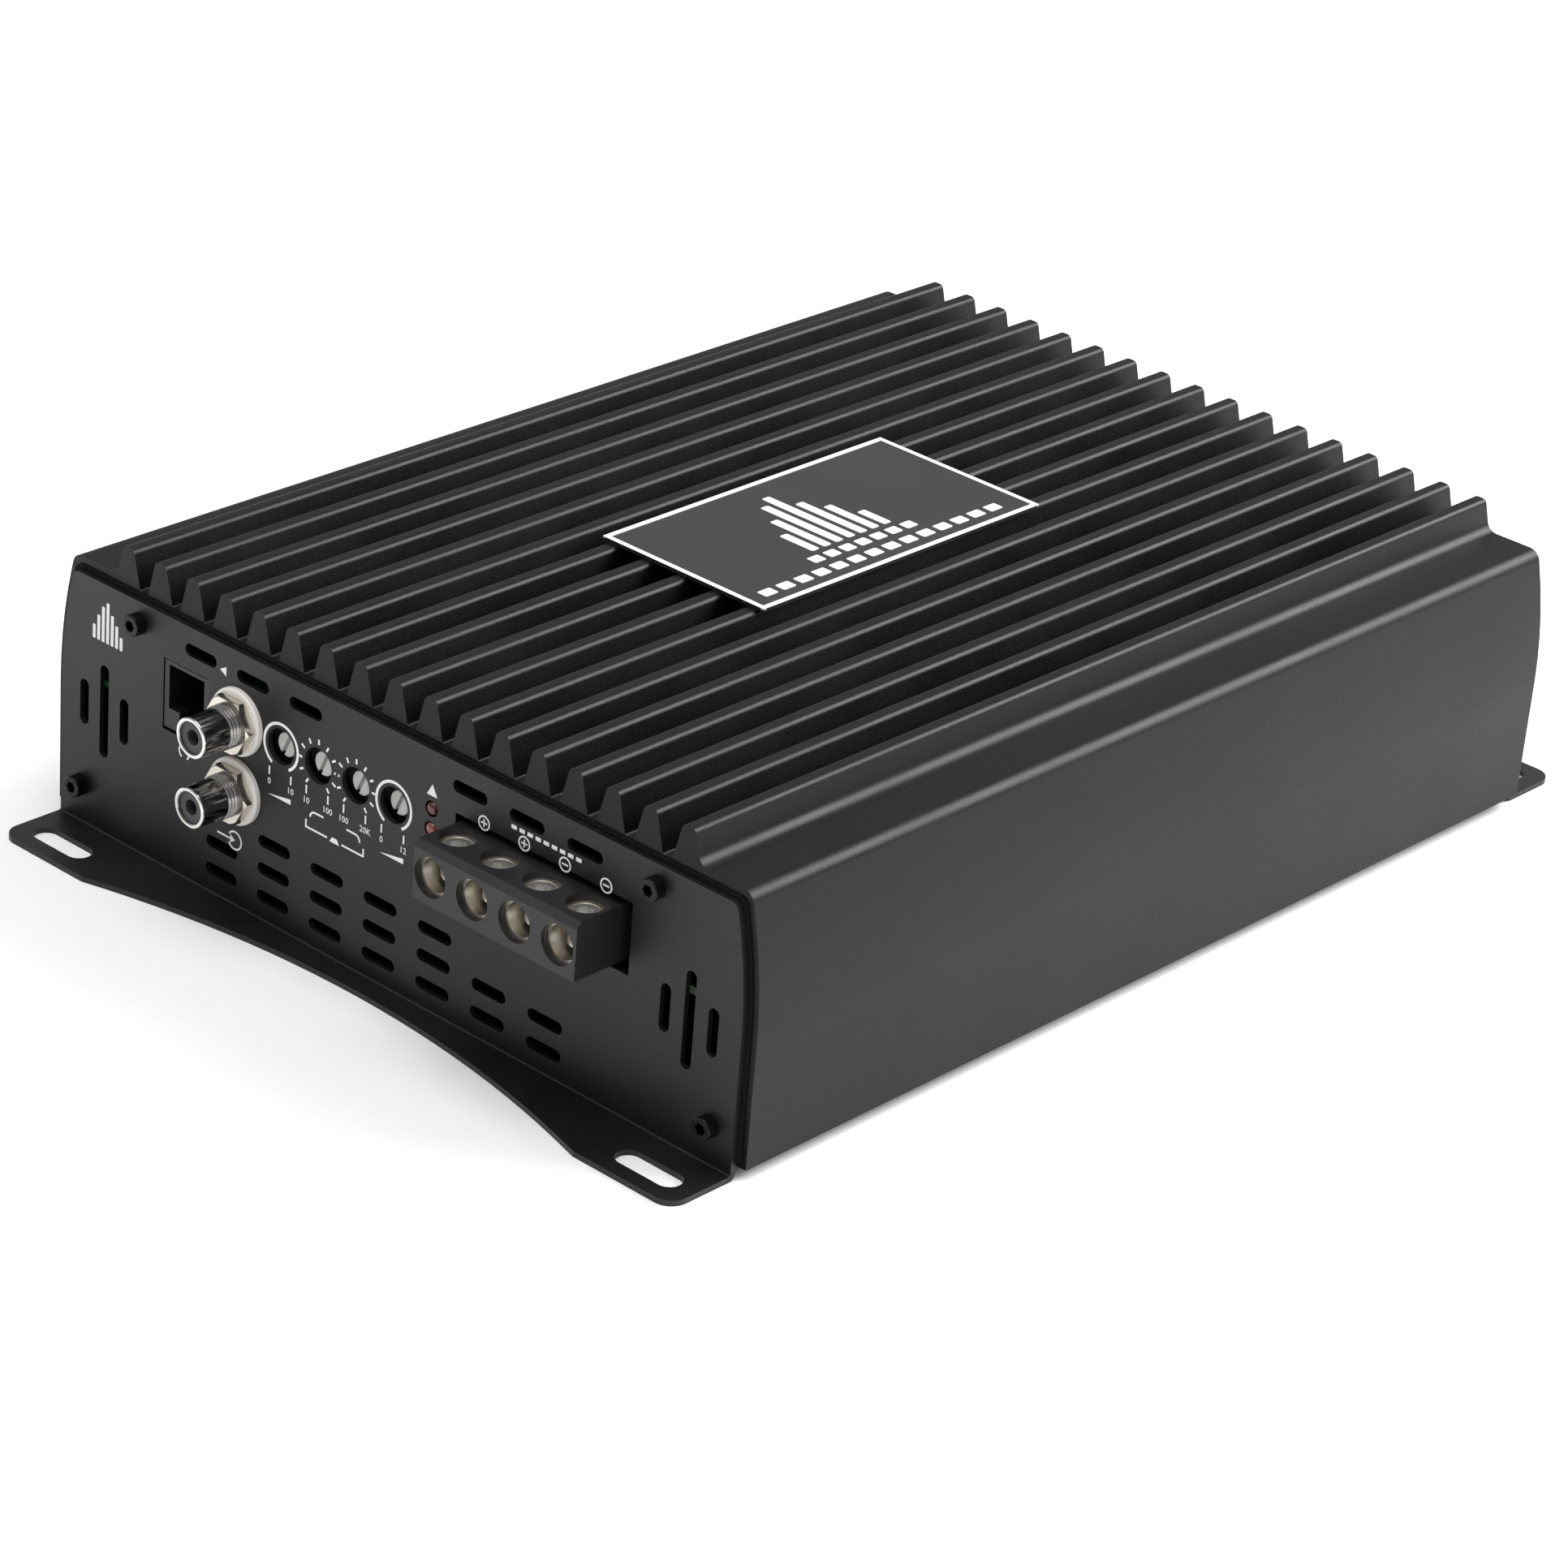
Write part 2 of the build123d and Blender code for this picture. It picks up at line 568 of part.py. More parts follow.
PIN_SIDE = 0.32
pins = []
for k in range(5):
    x = RCA_X - 5.08 + 2.54 * k
    low = block(x - PIN_SIDE, x + PIN_SIDE, RCA_BACK_Y + BOARD_T, -102.0, 32.6, 33.24)
    pins.append(low + block(x - PIN_SIDE, x + PIN_SIDE, -102.64, -102.0, BOARD_TOP_Z, 33.24))
write("input_board_pins", *pins)


# ---- remote level socket ----
REMOTE_FRONT_Y = PANEL_FACE_Y + 0.2
REMOTE_BACK_Y = -106.0
REMOTE_TOP_Z = 46.4
PLUG_HALF = 5.1
PLUG_Z = (36.2, 45.6)
PLUG_DEPTH = 12.5
LATCH_HALF = 1.9
LATCH_Z = 34.2
remote = block(
    REMOTE_X - 6.45, REMOTE_X + 6.45, REMOTE_FRONT_Y, REMOTE_BACK_Y, BOARD_TOP_Z, REMOTE_TOP_Z
)
plug_y = (REMOTE_FRONT_Y - 1, REMOTE_FRONT_Y + PLUG_DEPTH)
remote -= block(REMOTE_X - PLUG_HALF, REMOTE_X + PLUG_HALF, *plug_y, *PLUG_Z)
remote -= block(REMOTE_X - LATCH_HALF, REMOTE_X + LATCH_HALF, *plug_y, LATCH_Z, PLUG_Z[0] + 1)
write("remote_socket", remote)

CONTACT_COUNT = 6
CONTACT_PITCH = 1.27
CONTACT_HALF = 0.23
springs = []
for k in range(CONTACT_COUNT):
    x = REMOTE_X + (k - (CONTACT_COUNT - 1) / 2) * CONTACT_PITCH
    tip = REMOTE_FRONT_Y + 2.2
    root = REMOTE_FRONT_Y + PLUG_DEPTH
    wire = Polyline(
        (tip, PLUG_Z[1]), (root - 3.5, 41.3), (root - 3.5, 40.8), (tip + 0.9, 44.6), (tip - 0.4, 45.2),
        close=True
    )
    springs.append(along_x(make_face(wire), x - CONTACT_HALF, x + CONTACT_HALF))
write("remote_socket_contacts", *springs)


# ---- level and filter controls ----
POT_BODY_HALF = 4.8
POT_BODY_Y = (-118.9, -112.9)
POT_BODY_TOP_Z = 46.0
POT_SHAFT_BACK_Y = -115.4
POT_FIT = 0.05
POT_SLOT_WIDTH = 0.9
POT_SLOT_DEPTH = 1.0


def pot_x(k):
    return POT_FIRST_X + k * POT_PITCH


def pot_body(x):
    body = block(x - POT_BODY_HALF, x + POT_BODY_HALF, *POT_BODY_Y, BOARD_TOP_Z, POT_BODY_TOP_Z)
    return body - rod_y(x, POT_Z, POT_SHAFT_R + POT_FIT, POT_BODY_Y[0] - 1, POT_SHAFT_BACK_Y + POT_FIT)


def pot_rotor(x):
    shaft = rod_y(x, POT_Z, POT_SHAFT_R, POT_FACE_Y, POT_SHAFT_BACK_Y)
    shaft = fillet(shaft.edges().filter_by(GeomType.CIRCLE).sort_by(Axis.Y)[0], 0.2)
    slot = block(-4, 4, POT_FACE_Y - 1, POT_FACE_Y + POT_SLOT_DEPTH, -POT_SLOT_WIDTH / 2, POT_SLOT_WIDTH / 2)
    return shaft - Pos(x, 0, POT_Z) * Rot(0, -POT_SLOT_ANGLE, 0) * slot


write("control_pot_bodies", *[pot_body(pot_x(k)) for k in range(len(POT_NAMES))])
for k, pot in enumerate(POT_NAMES):
    write(f"{pot}_rotor", pot_rotor(pot_x(k)))


# ---- status lamps ----
LED_TIP_Y = -122.1
LED_COLLAR_Y = (-120.2, -119.2)
LED_BACK_Y = -117.3


def led(z):
    lens = rod_y(LED_X, z, LED_R, LED_TIP_Y, LED_BACK_Y)
    lens = fillet(lens.edges().filter_by(GeomType.CIRCLE).sort_by(Axis.Y)[0], LED_R - 0.15)
    return lens + rod_y(LED_X, z, 1.9, *LED_COLLAR_Y)


def led_leads(z, back_y):
    leads = []
    for x in (LED_X - 1.27, LED_X + 1.27):
        run = block(x - 0.25, x + 0.25, LED_BACK_Y, back_y, z - 0.25, z + 0.25)
        leads.append(run + block(x - 0.25, x + 0.25, back_y - 0.5, back_y, BOARD_TOP_Z, z + 0.25))
    return leads


write("protect_lamp", led(LED_ROWS_Z[0]))
write("power_lamp", led(LED_ROWS_Z[1]))
write("lamp_leads", *led_leads(LED_ROWS_Z[0], -112.0), *led_leads(LED_ROWS_Z[1], -114.5))


# ---- screw terminal blocks ----
def way_x(ways, centre, k):
    return centre + (k - (ways - 1) / 2) * WAY_PITCH


def terminal_housing(ways, centre):
    half = (ways - 1) * WAY_PITCH / 2 + BLOCK_SIDE
    back_y = BLOCK_FRONT_Y + BLOCK_DEPTH
    body = block(centre - half, centre + half, BLOCK_FRONT_Y, back_y, BLOCK_BOTTOM_Z, BLOCK_TOP_Z)
    top_front = body.edges().filter_by(Axis.X).sort_by(Axis.Z)[-2:].sort_by(Axis.Y)[0]
    body = chamfer(top_front, BLOCK_BEVEL)
    body = fillet(body.edges().filter_by(Axis.Z), BLOCK_EDGE_R)
    pocket = CLAMP_WIDTH / 2 + 0.05
    for k in range(ways):
        x = way_x(ways, centre, k)
        body -= rod_y(x, WIRE_Z, WIRE_ENTRY_R, BLOCK_FRONT_Y - 1, CLAMP_FRONT_Y)
        body -= rod_z(x, DRIVER_Y, DRIVER_HOLE_R, CLAMP_TOP_Z - 1, BLOCK_TOP_Z + 1)
        body -= block(
            x - pocket, x + pocket, CLAMP_FRONT_Y, CLAMP_BACK_Y + 0.05, CLAMP_BOTTOM_Z, CLAMP_TOP_Z
        )
        body -= block(x - 2.05, x + 2.05, CLAMP_BACK_Y, TAIL_Y + 0.05, CLAMP_BOTTOM_Z, 35.15)
        body -= block(x - 2.05, x + 2.05, TAIL_Y - 1.55, TAIL_Y + 0.05, BLOCK_BOTTOM_Z - 1, 35.15)
    return body


def terminal_clamp(x):
    cage = block(
        x - CLAMP_WIDTH / 2, x + CLAMP_WIDTH / 2, CLAMP_FRONT_Y, CLAMP_BACK_Y, CLAMP_BOTTOM_Z, CLAMP_TOP_Z
    )
    cage -= rod_y(x, WIRE_Z, WIRE_BORE_R, CLAMP_FRONT_Y - 1, CLAMP_BACK_Y + 1)
    cage -= rod_z(x, DRIVER_Y, TERMINAL_SCREW_R + 0.05, WIRE_Z, CLAMP_TOP_Z + 1)
    cage += block(x - 2, x + 2, CLAMP_BACK_Y, TAIL_Y, CLAMP_BOTTOM_Z, CLAMP_BOTTOM_Z + 1)
    return cage + block(x - 2, x + 2, TAIL_Y - 1.5, TAIL_Y, BOARD_TOP_Z, CLAMP_BOTTOM_Z + 1)


def terminal_screw(x):
    screw = rod_z(x, DRIVER_Y, TERMINAL_SCREW_R, TERMINAL_SCREW_BOTTOM_Z, TERMINAL_SCREW_TOP_Z)
    screw = chamfer(screw.edges().filter_by(GeomType.CIRCLE), 0.3)
    screw -= hex_z(x, DRIVER_Y, TERMINAL_HEX_AF, TERMINAL_SCREW_TOP_Z - 3, TERMINAL_SCREW_TOP_Z + 1)
    stem_top = TERMINAL_SCREW_BOTTOM_Z + 1.3
    return screw - rod_z(x, DRIVER_Y, PAD_STEM_R + 0.05, TERMINAL_SCREW_BOTTOM_Z - 1, stem_top)


def pressure_pad(x):
    pad = rod_z(x, DRIVER_Y, PAD_R, PAD_BOTTOM_Z, PAD_TOP_Z)
    return pad + rod_z(x, DRIVER_Y, PAD_STEM_R, PAD_TOP_Z, TERMINAL_SCREW_BOTTOM_Z + 1.2)


def terminal_group(name, ways, centre, place):
    """Write one terminal block; place turns it to its end of the case."""
    xs = [way_x(ways, centre, k) for k in range(ways)]
    write(f"{name}_terminal_housing", place(terminal_housing(ways, centre)))
    write(f"{name}_terminal_clamps", *[place(terminal_clamp(x)) for x in xs])
    for k, x in enumerate(xs, start=1):
        write(f"{name}_terminal_screw_{k}", place(terminal_screw(x)))
        write(f"{name}_pressure_pad_{k}", place(pressure_pad(x)))


terminal_group("speaker", SPEAKER_WAYS, SPEAKER_X, lambda shape: shape)
terminal_group("power", POWER_WAYS, 0.0, at_rear)


# ---- power stage under the main board ----
FET_SIZE = (4.4, 10.0, 15.0)
FET_BOTTOM_Z = 13.4
FET_Y = tuple(-75.0 + 30.0 * k for k in range(6))
FET_PAD_T = 0.4
FET_LEAD_X = 89.6
BAR_Z = (17.0, 25.0)
BAR_T = 3.0
BAR_HALF_LENGTH = 84.0


def on_both_sides(make):
    """The +X shape and its mirror image."""
    shape = make()
    return shape, mirror(shape, Plane.YZ)


def transistor(y):
    face_x = CAVITY_HALF_WIDTH - FET_PAD_T
    thick, wide, tall = FET_SIZE
    top_z = FET_BOTTOM_Z + tall
    package = block(face_x - thick, face_x, y - wide / 2, y + wide / 2, FET_BOTTOM_Z + 5.5, top_z)
    package += block(face_x - 1.3, face_x, y - wide / 2, y + wide / 2, FET_BOTTOM_Z, top_z)
    package -= rod_x(y, FET_BOTTOM_Z + 2.6, 1.8, face_x - 3, face_x + 1)
    for step in (-2.54, 0, 2.54):
        lead = block(
            FET_LEAD_X - 0.25, FET_LEAD_X + 0.25, y + step - 0.4, y + step + 0.4, top_z, BOARD_Z
        )
        package += lead
    return package


def bar_screw(y):
    head_x = CAVITY_HALF_WIDTH - FET_PAD_T - FET_SIZE[0] - BAR_T
    screw = rod_x(y, BAR_SCREW_Z, M3_SHANK_R, head_x, BAR_SCREW_TIP_X)
    screw += rod_x(y, BAR_SCREW_Z, M3_HEAD_R, head_x - M3_HEAD_H, head_x)
    slot = block(
        head_x - 3, head_x - 1.0, y - 1.9, y + 1.9, BAR_SCREW_Z - 0.35, BAR_SCREW_Z + 0.35
    )
    return screw - slot


def insulator_strip():
    face_x = CAVITY_HALF_WIDTH
    strip = block(
        face_x - FET_PAD_T, face_x, -BAR_HALF_LENGTH, BAR_HALF_LENGTH,
        FET_BOTTOM_Z, FET_BOTTOM_Z + FET_SIZE[2]
    )
    for y in BAR_SCREW_Y:
        strip -= rod_x(y, BAR_SCREW_Z, M3_SHANK_R + 0.2, face_x - 1, face_x + 1)
    return strip


def clamp_bar():
    x1 = CAVITY_HALF_WIDTH - FET_PAD_T - FET_SIZE[0]
    bar = block(x1 - BAR_T, x1, -BAR_HALF_LENGTH, BAR_HALF_LENGTH, *BAR_Z)
    for y in BAR_SCREW_Y:
        bar -= rod_x(y, BAR_SCREW_Z, M3_SHANK_R + 0.2, x1 - BAR_T - 1, x1 + 1)
    return bar


write("power_transistors", *[s for y in FET_Y for s in on_both_sides(lambda: transistor(y))])
write("insulator_strips", *on_both_sides(insulator_strip))
write("clamp_bars", *on_both_sides(clamp_bar))
write("clamp_bar_screws", *[s for y in BAR_SCREW_Y for s in on_both_sides(lambda: bar_screw(y))])

CAPACITOR_R = 8.0
CAPACITOR_LENGTH = 20.5
CAPACITORS = tuple(
    [(x, y) for x in (-58.0, -38.0, 38.0, 58.0) for y in (66.0,)]
    + [(x, y) for x in (-20.0, 0.0, 20.0) for y in (-66.0,)]
)


def capacitor(x, y):
    can = rod_z(x, y, CAPACITOR_R, BOARD_Z - CAPACITOR_LENGTH, BOARD_Z)
    return fillet(can.edges().filter_by(GeomType.CIRCLE).sort_by(Axis.Z)[0], 0.8)


def ring_z(x, y, z0, z1, inner, outer, soften):
    """An annular coil or core on a vertical axis, with softened corners."""
    ring = rod_z(x, y, outer, z0, z1) - rod_z(x, y, inner, z0 - 1, z1 + 1)
    return fillet(ring.edges().filter_by(GeomType.CIRCLE), soften)


def toroid(x, y, height, inner, outer, wall, gaps):
    """A toroidal core and its winding, which leaves wedge-shaped gaps on the core."""
    z1 = BOARD_Z - 0.4
    z0 = z1 - height
    core = ring_z(x, y, z0 + wall, z1 - wall, inner + wall, outer - wall, 0.6)
    shell = ring_z(x, y, z0, z1, inner, outer, wall * 0.8)
    for angle, width in gaps:
        wedge = block(0, outer + 5, -width / 2, width / 2, z0 - 1, z1 + 1)
        shell -= Pos(x, y) * Rot(0, 0, angle) * wedge
    return core, shell - core


transformer_core, transformer_winding = toroid(-28.0, 8.0, 20.0, 8.0, 24.0, 2.6, ((45, 9), (225, 9)))
write("transformer_core", transformer_core)
write("transformer_winding", transformer_winding)
inductor_core, inductor_winding = toroid(34.0, 8.0, 17.0, 7.0, 18.0, 1.9, ((90, 12),))
write("output_inductor_core", inductor_core)
write("output_inductor_winding", inductor_winding)
write("reservoir_capacitors", *[capacitor(x, y) for x, y in CAPACITORS])

driver_board = block(-30.0, 10.0, -91.5, -90.0, BOARD_TOP_Z, 48.5)
write("driver_board", driver_board)
CHIP_PLACES = ((-50.0, -88.0), (-20.0, -78.0), (2.0, -78.0), (24.0, -88.0))
write("signal_chips", *[
    block(x - 5.0, x + 5.0, y - 3.2, y + 3.2, BOARD_TOP_Z, BOARD_TOP_Z + 3.4) for x, y in CHIP_PLACES
])
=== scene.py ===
from math import asin, cos, pi, radians, sin, tau

import bmesh
import bpy
from mathutils import Matrix, Vector


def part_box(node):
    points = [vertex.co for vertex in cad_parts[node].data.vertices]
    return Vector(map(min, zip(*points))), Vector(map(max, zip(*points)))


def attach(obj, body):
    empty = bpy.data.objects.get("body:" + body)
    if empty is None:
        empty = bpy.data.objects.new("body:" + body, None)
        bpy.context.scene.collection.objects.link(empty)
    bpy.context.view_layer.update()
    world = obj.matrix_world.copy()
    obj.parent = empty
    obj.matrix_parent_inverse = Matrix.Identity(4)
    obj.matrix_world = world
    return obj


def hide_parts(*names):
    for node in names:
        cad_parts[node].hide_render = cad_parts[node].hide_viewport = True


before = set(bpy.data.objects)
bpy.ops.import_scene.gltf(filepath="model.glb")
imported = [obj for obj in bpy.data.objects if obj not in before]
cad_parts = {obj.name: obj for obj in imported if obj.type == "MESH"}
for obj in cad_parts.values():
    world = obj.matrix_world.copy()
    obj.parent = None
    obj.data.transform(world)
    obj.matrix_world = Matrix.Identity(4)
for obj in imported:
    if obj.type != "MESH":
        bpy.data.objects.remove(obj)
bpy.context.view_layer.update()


# ---- camera ----
# A long lens, a little above the connector panel's right-hand corner, tilted slightly clockwise.
camera_data = bpy.data.cameras.new("camera")
camera_data.sensor_width = 36.0
camera_data.lens = 117.0
camera_data.clip_end = 20.0
camera = bpy.data.objects.new("camera", camera_data)
camera.location = (0.6150, -0.7208, 0.4768)
camera.rotation_euler = (radians(63.45), radians(-4.263), radians(42.88))
bpy.context.scene.collection.objects.link(camera)
bpy.context.scene.camera = camera
bpy.context.scene.view_settings.view_transform = "Standard"


# ---- studio ----
# A white paper sweep in a bright even surround. One long soft box behind the case on its right
# lights the rounded edges, and a weak one overhead lifts the tops.
def srgb(code):
    """A hex colour as linear red, green, blue and full alpha."""
    channels = [int(code[i:i + 2], 16) / 255 for i in (0, 2, 4)]
    return [c / 12.92 if c <= 0.04045 else ((c + 0.055) / 1.055) ** 2.4 for c in channels] + [1.0]


def add_node(tree, kind, values=None, links=None, **properties):
    """Add one shader node, with its properties, its socket values and its incoming links."""
    made = tree.nodes.new(kind)
    for name, value in properties.items():
        setattr(made, name, value)
    for socket, value in (values or {}).items():
        made.inputs[socket].default_value = value
    for socket, source in (links or {}).items():
        tree.links.new(source, made.inputs[socket])
    return made


def start_material(name):
    """An empty material: itself, its node tree and the place on the object in metres."""
    made = bpy.data.materials.new(name)
    made.use_nodes = True
    tree = made.node_tree
    tree.nodes.clear()
    return made, tree, add_node(tree, "ShaderNodeTexCoord").outputs["Object"]


def finish_material(tree, shader):
    """Send one shader to the material's surface."""
    add_node(tree, "ShaderNodeOutputMaterial", links={"Surface": shader.outputs[0]})


DRIFT_MM = 28.0


def finish(
    name, shades, roughness, grain_mm, depth_mm, metallic=0.0, spread=0.06, specular=0.5,
    stretch=(1.0, 1.0, 1.0), clear=0.0
):
    """A finish whose shade, gloss and surface all vary with one fine grain and one broad drift."""
    made, tree, place = start_material(name)
    mapped = add_node(tree, "ShaderNodeMapping", {"Scale": stretch}, {"Vector": place})
    grain = add_node(
        tree, "ShaderNodeTexNoise", {"Scale": 1000 / grain_mm, "Detail": 3.0, "Roughness": 0.55},
        {"Vector": mapped.outputs[0]}
    )
    drift = add_node(
        tree, "ShaderNodeTexNoise", {"Scale": 1000 / DRIFT_MM, "Detail": 2.0}, {"Vector": place}
    )
    both = add_node(
        tree, "ShaderNodeMath", {1: 0.5}, {0: grain.outputs["Fac"]}, operation="MULTIPLY"
    )
    both = add_node(
        tree, "ShaderNodeMath", {1: 0.5}, {0: drift.outputs["Fac"], 2: both.outputs[0]},
        operation="MULTIPLY_ADD"
    )
    level = add_node(
        tree, "ShaderNodeMapRange", {"From Min": 0.35, "From Max": 0.65}, {"Value": both.outputs[0]}
    )
    shade = add_node(
        tree, "ShaderNodeMix", {"A": srgb(shades[0]), "B": srgb(shades[1])},
        {"Factor": level.outputs[0]}, data_type="RGBA"
    )
    gloss = add_node(
        tree, "ShaderNodeMapRange", {"To Min": roughness - spread, "To Max": roughness + spread},
        {"Value": level.outputs[0]}
    )
    bump = add_node(
        tree, "ShaderNodeBump", {"Strength": 0.5, "Distance": depth_mm / 1000},
        {"Height": grain.outputs["Fac"]}
    )
    shader = add_node(
        tree, "ShaderNodeBsdfPrincipled",
        {"Metallic": metallic, "Specular IOR Level": specular, "Coat Weight": clear,
         "Coat Roughness": 0.08},
        {"Base Color": shade.outputs["Result"], "Roughness": gloss.outputs[0],
         "Normal": bump.outputs[0]}
    )
    finish_material(tree, shader)
    return made


floor_mesh = bmesh.new()
bmesh.ops.create_grid(floor_mesh, x_segments=1, y_segments=1, size=6.0)
floor_data = bpy.data.meshes.new("floor")
floor_mesh.to_mesh(floor_data)
floor_mesh.free()
floor = bpy.data.objects.new("floor", floor_data)
floor.data.materials.append(finish("matt_paper_sweep", ("f7f7f6", "f9f9f8"), 0.9, 3.0, 0.02))
bpy.context.scene.collection.objects.link(floor)

world = bpy.data.worlds.new("studio_surround")
world.use_nodes = True
world.node_tree.nodes["Background"].inputs["Color"].default_value = srgb("fafbfc")
world.node_tree.nodes["Background"].inputs["Strength"].default_value = 0.50
bpy.context.scene.world = world


CASE_MIDDLE = Vector((0, 0, 0.03))


def soft_box(name, place, size, radiance):
    """A rectangular area light that faces the middle of the case, its radiance in W/(m2 sr)."""
    data = bpy.data.lights.new(name, "AREA")
    data.shape = "RECTANGLE"
    data.size, data.size_y = size
    data.energy = radiance * pi * size[0] * size[1]
    light = bpy.data.objects.new(name, data)
    light.location = place
    light.rotation_euler = (CASE_MIDDLE - Vector(place)).to_track_quat("-Z", "Y").to_euler()
    bpy.context.scene.collection.objects.link(light)


soft_box("key_soft_box", (0.75, 1.15, 1.00), (1.5, 0.9), 12.0)
soft_box("overhead_soft_box", (0.0, -0.5, 2.2), (1.8, 1.8), 3.6)


# ---- heatsink case, panels and cover: textured black coat ----
# The case is one aluminium extrusion and the panels are folded steel sheet. Both carry the same
# baked black coat: satin, with a fine orange-peel grain that softens every highlight.
def give(material, *names):
    """Put one material on some CAD nodes."""
    for name in names:
        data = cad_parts[name].data
        data.materials.clear()
        data.materials.append(material)


case_coat = finish("satin_black_baked_coat", ("040404", "0c0c0c"), 0.40, 0.42, 0.060, specular=0.22)
give(case_coat, "heatsink_case")
panel_coat = finish("satin_black_powder_coat", ("0b0b0b", "161616"), 0.45, 0.38, 0.050, specular=0.40)
give(panel_coat, "front_panel", "rear_panel", "bottom_cover")


# ---- gaskets ----
# Strips of closed-cell black foam tape between the case ends and the panels. Cut to the
# panel's outline and squeezed by the panel screws.
give(
    finish("closed_cell_foam_tape", ("050505", "0b0b0b"), 0.92, 0.35, 0.08, specular=0.2),
    "front_gasket", "rear_gasket"
)


# ---- screws and standoffs ----
# Black oxide screws hold the outside together: socket cap ones the panels, pan head ones the
# cover. Inside are zinc plated pan head screws and hexagonal standoffs, turned from bar.
give(
    finish("black_oxide_steel", ("0c0b0b", "1f1c1c"), 0.30, 0.5, 0.010, metallic=0.6),
    "front_panel_screws", "rear_panel_screws", "bottom_cover_screws"
)
zinc_plate = finish(
    "bright_zinc_plate", ("a9aaad", "c6c7ca"), 0.27, 0.7, 0.008, metallic=1.0, stretch=(1, 1, 0.15)
)
give(zinc_plate, "board_screws", "clamp_bar_screws", "board_standoffs")


# ---- badge ----
# A thin aluminium plate glued across the fin tips: dark satin field, with a bright border and
# bright raised marks. The marks are a plain row of level bars over two rows of dashes.
def extrude_outline(points, low, high, mesh, place):
    """Extrude one closed outline from height low to high, then move it by the matrix place."""
    face = mesh.faces.new([mesh.verts.new((u, v, low)) for u, v in points])
    grown = bmesh.ops.extrude_face_region(mesh, geom=[face], use_keep_orig=True)["geom"]
    tops = [item for item in grown if isinstance(item, bmesh.types.BMVert)]
    bmesh.ops.translate(mesh, verts=tops, vec=(0, 0, high - low))
    bmesh.ops.transform(mesh, matrix=place, verts=list(face.verts) + tops)


def rounded(u0, u1, v0, v1, radius, steps=4):
    """Outline of a rectangle with rounded corners."""
    points = []
    for k, (u, v) in enumerate(((u1, v1), (u0, v1), (u0, v0), (u1, v0))):
        centre = (u - radius if u == u1 else u + radius, v - radius if v == v1 else v + radius)
        for step in range(steps + 1):
            angle = (k + step / steps) * pi / 2
            points.append((centre[0] + radius * cos(angle), centre[1] + radius * sin(angle)))
    return points


def add_piece(name, mesh, body, materials, smooth=False):
    """Turn a mesh under construction into a piece of the object."""
    bmesh.ops.recalc_face_normals(mesh, faces=mesh.faces)
    data = bpy.data.meshes.new(name)
    mesh.to_mesh(data)
    mesh.free()
    for face in data.polygons:
        face.use_smooth = smooth
    piece = bpy.data.objects.new(name, data)
    for material in materials:
        data.materials.append(material)
    bpy.context.scene.collection.objects.link(piece)
    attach(piece, body)
    return piece


badge_low, badge_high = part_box("badge_plate")
badge_mid = (Vector(badge_low) + Vector(badge_high)) / 2
BADGE_HALF_X = (badge_high[0] - badge_low[0]) / 2
BADGE_HALF_Y = (badge_high[1] - badge_low[1]) / 2
PLATE_CORNER_R = 0.0008
BORDER = 0.0012
RAISED = 0.00010
FIELD_Z = badge_high[2] - RAISED
MARK_ROOT_Z = FIELD_Z - 0.0002
badge_field = finish("badge_black_satin_print", ("19191b", "222224"), 0.50, 0.30, 0.012, specular=0.6)
badge_bright = finish(
    "badge_bright_aluminium_edge", ("d8d9dc", "f0f0f2"), 0.42, 0.25, 0.006, metallic=0.25
)
mesh = bmesh.new()
middle = Matrix.Translation((badge_mid.x, badge_mid.y, 0))
plate = rounded(-BADGE_HALF_X, BADGE_HALF_X, -BADGE_HALF_Y, BADGE_HALF_Y, PLATE_CORNER_R)
extrude_outline(plate, badge_low[2], FIELD_Z, mesh, middle)
badge_plate = add_piece("badge_satin_plate", mesh, "chassis", [badge_field])
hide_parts("badge_plate")

mesh = bmesh.new()


def raise_mark(outline):
    """Stand one bright mark on the badge's field."""
    extrude_outline(outline, MARK_ROOT_Z, badge_high[2], mesh, middle)


INNER_X = BADGE_HALF_X - BORDER
INNER_Y = BADGE_HALF_Y - BORDER
for u0, u1, v0, v1 in (
    (-BADGE_HALF_X, BADGE_HALF_X, INNER_Y, BADGE_HALF_Y),
    (-BADGE_HALF_X, BADGE_HALF_X, -BADGE_HALF_Y, -INNER_Y),
    (-BADGE_HALF_X, -INNER_X, -INNER_Y, INNER_Y),
    (INNER_X, BADGE_HALF_X, -INNER_Y, INNER_Y)
):
    raise_mark(rounded(u0, u1, v0, v1, 0.0002, 2))
BAR_FOOT_X = 0.009
BAR_PITCH = 0.0036
BAR_HALF = 0.0011
MIDDLE_BAR_Y = -0.0015
for k, length in enumerate((0.009, 0.015, 0.021, 0.024, 0.018, 0.0135, 0.0075)):
    y = (k - 3) * BAR_PITCH + MIDDLE_BAR_Y
    raise_mark(rounded(BAR_FOOT_X - length, BAR_FOOT_X, y - BAR_HALF, y + BAR_HALF, 0.0004, 3))
DASH_HALF = 0.0013
for row_x, first, last, dash, gap in (
    (0.0121, -0.0171, 0.0137, 0.0032, 0.0014),
    (0.0170, -0.0368, 0.0350, 0.0036, 0.0016)
):
    y = first
    while y + dash <= last:
        raise_mark(rounded(row_x - DASH_HALF, row_x + DASH_HALF, y, y + dash, 0.0003, 2))
        y += dash + gap
add_piece("badge_border_and_marks", mesh, "chassis", [badge_bright])


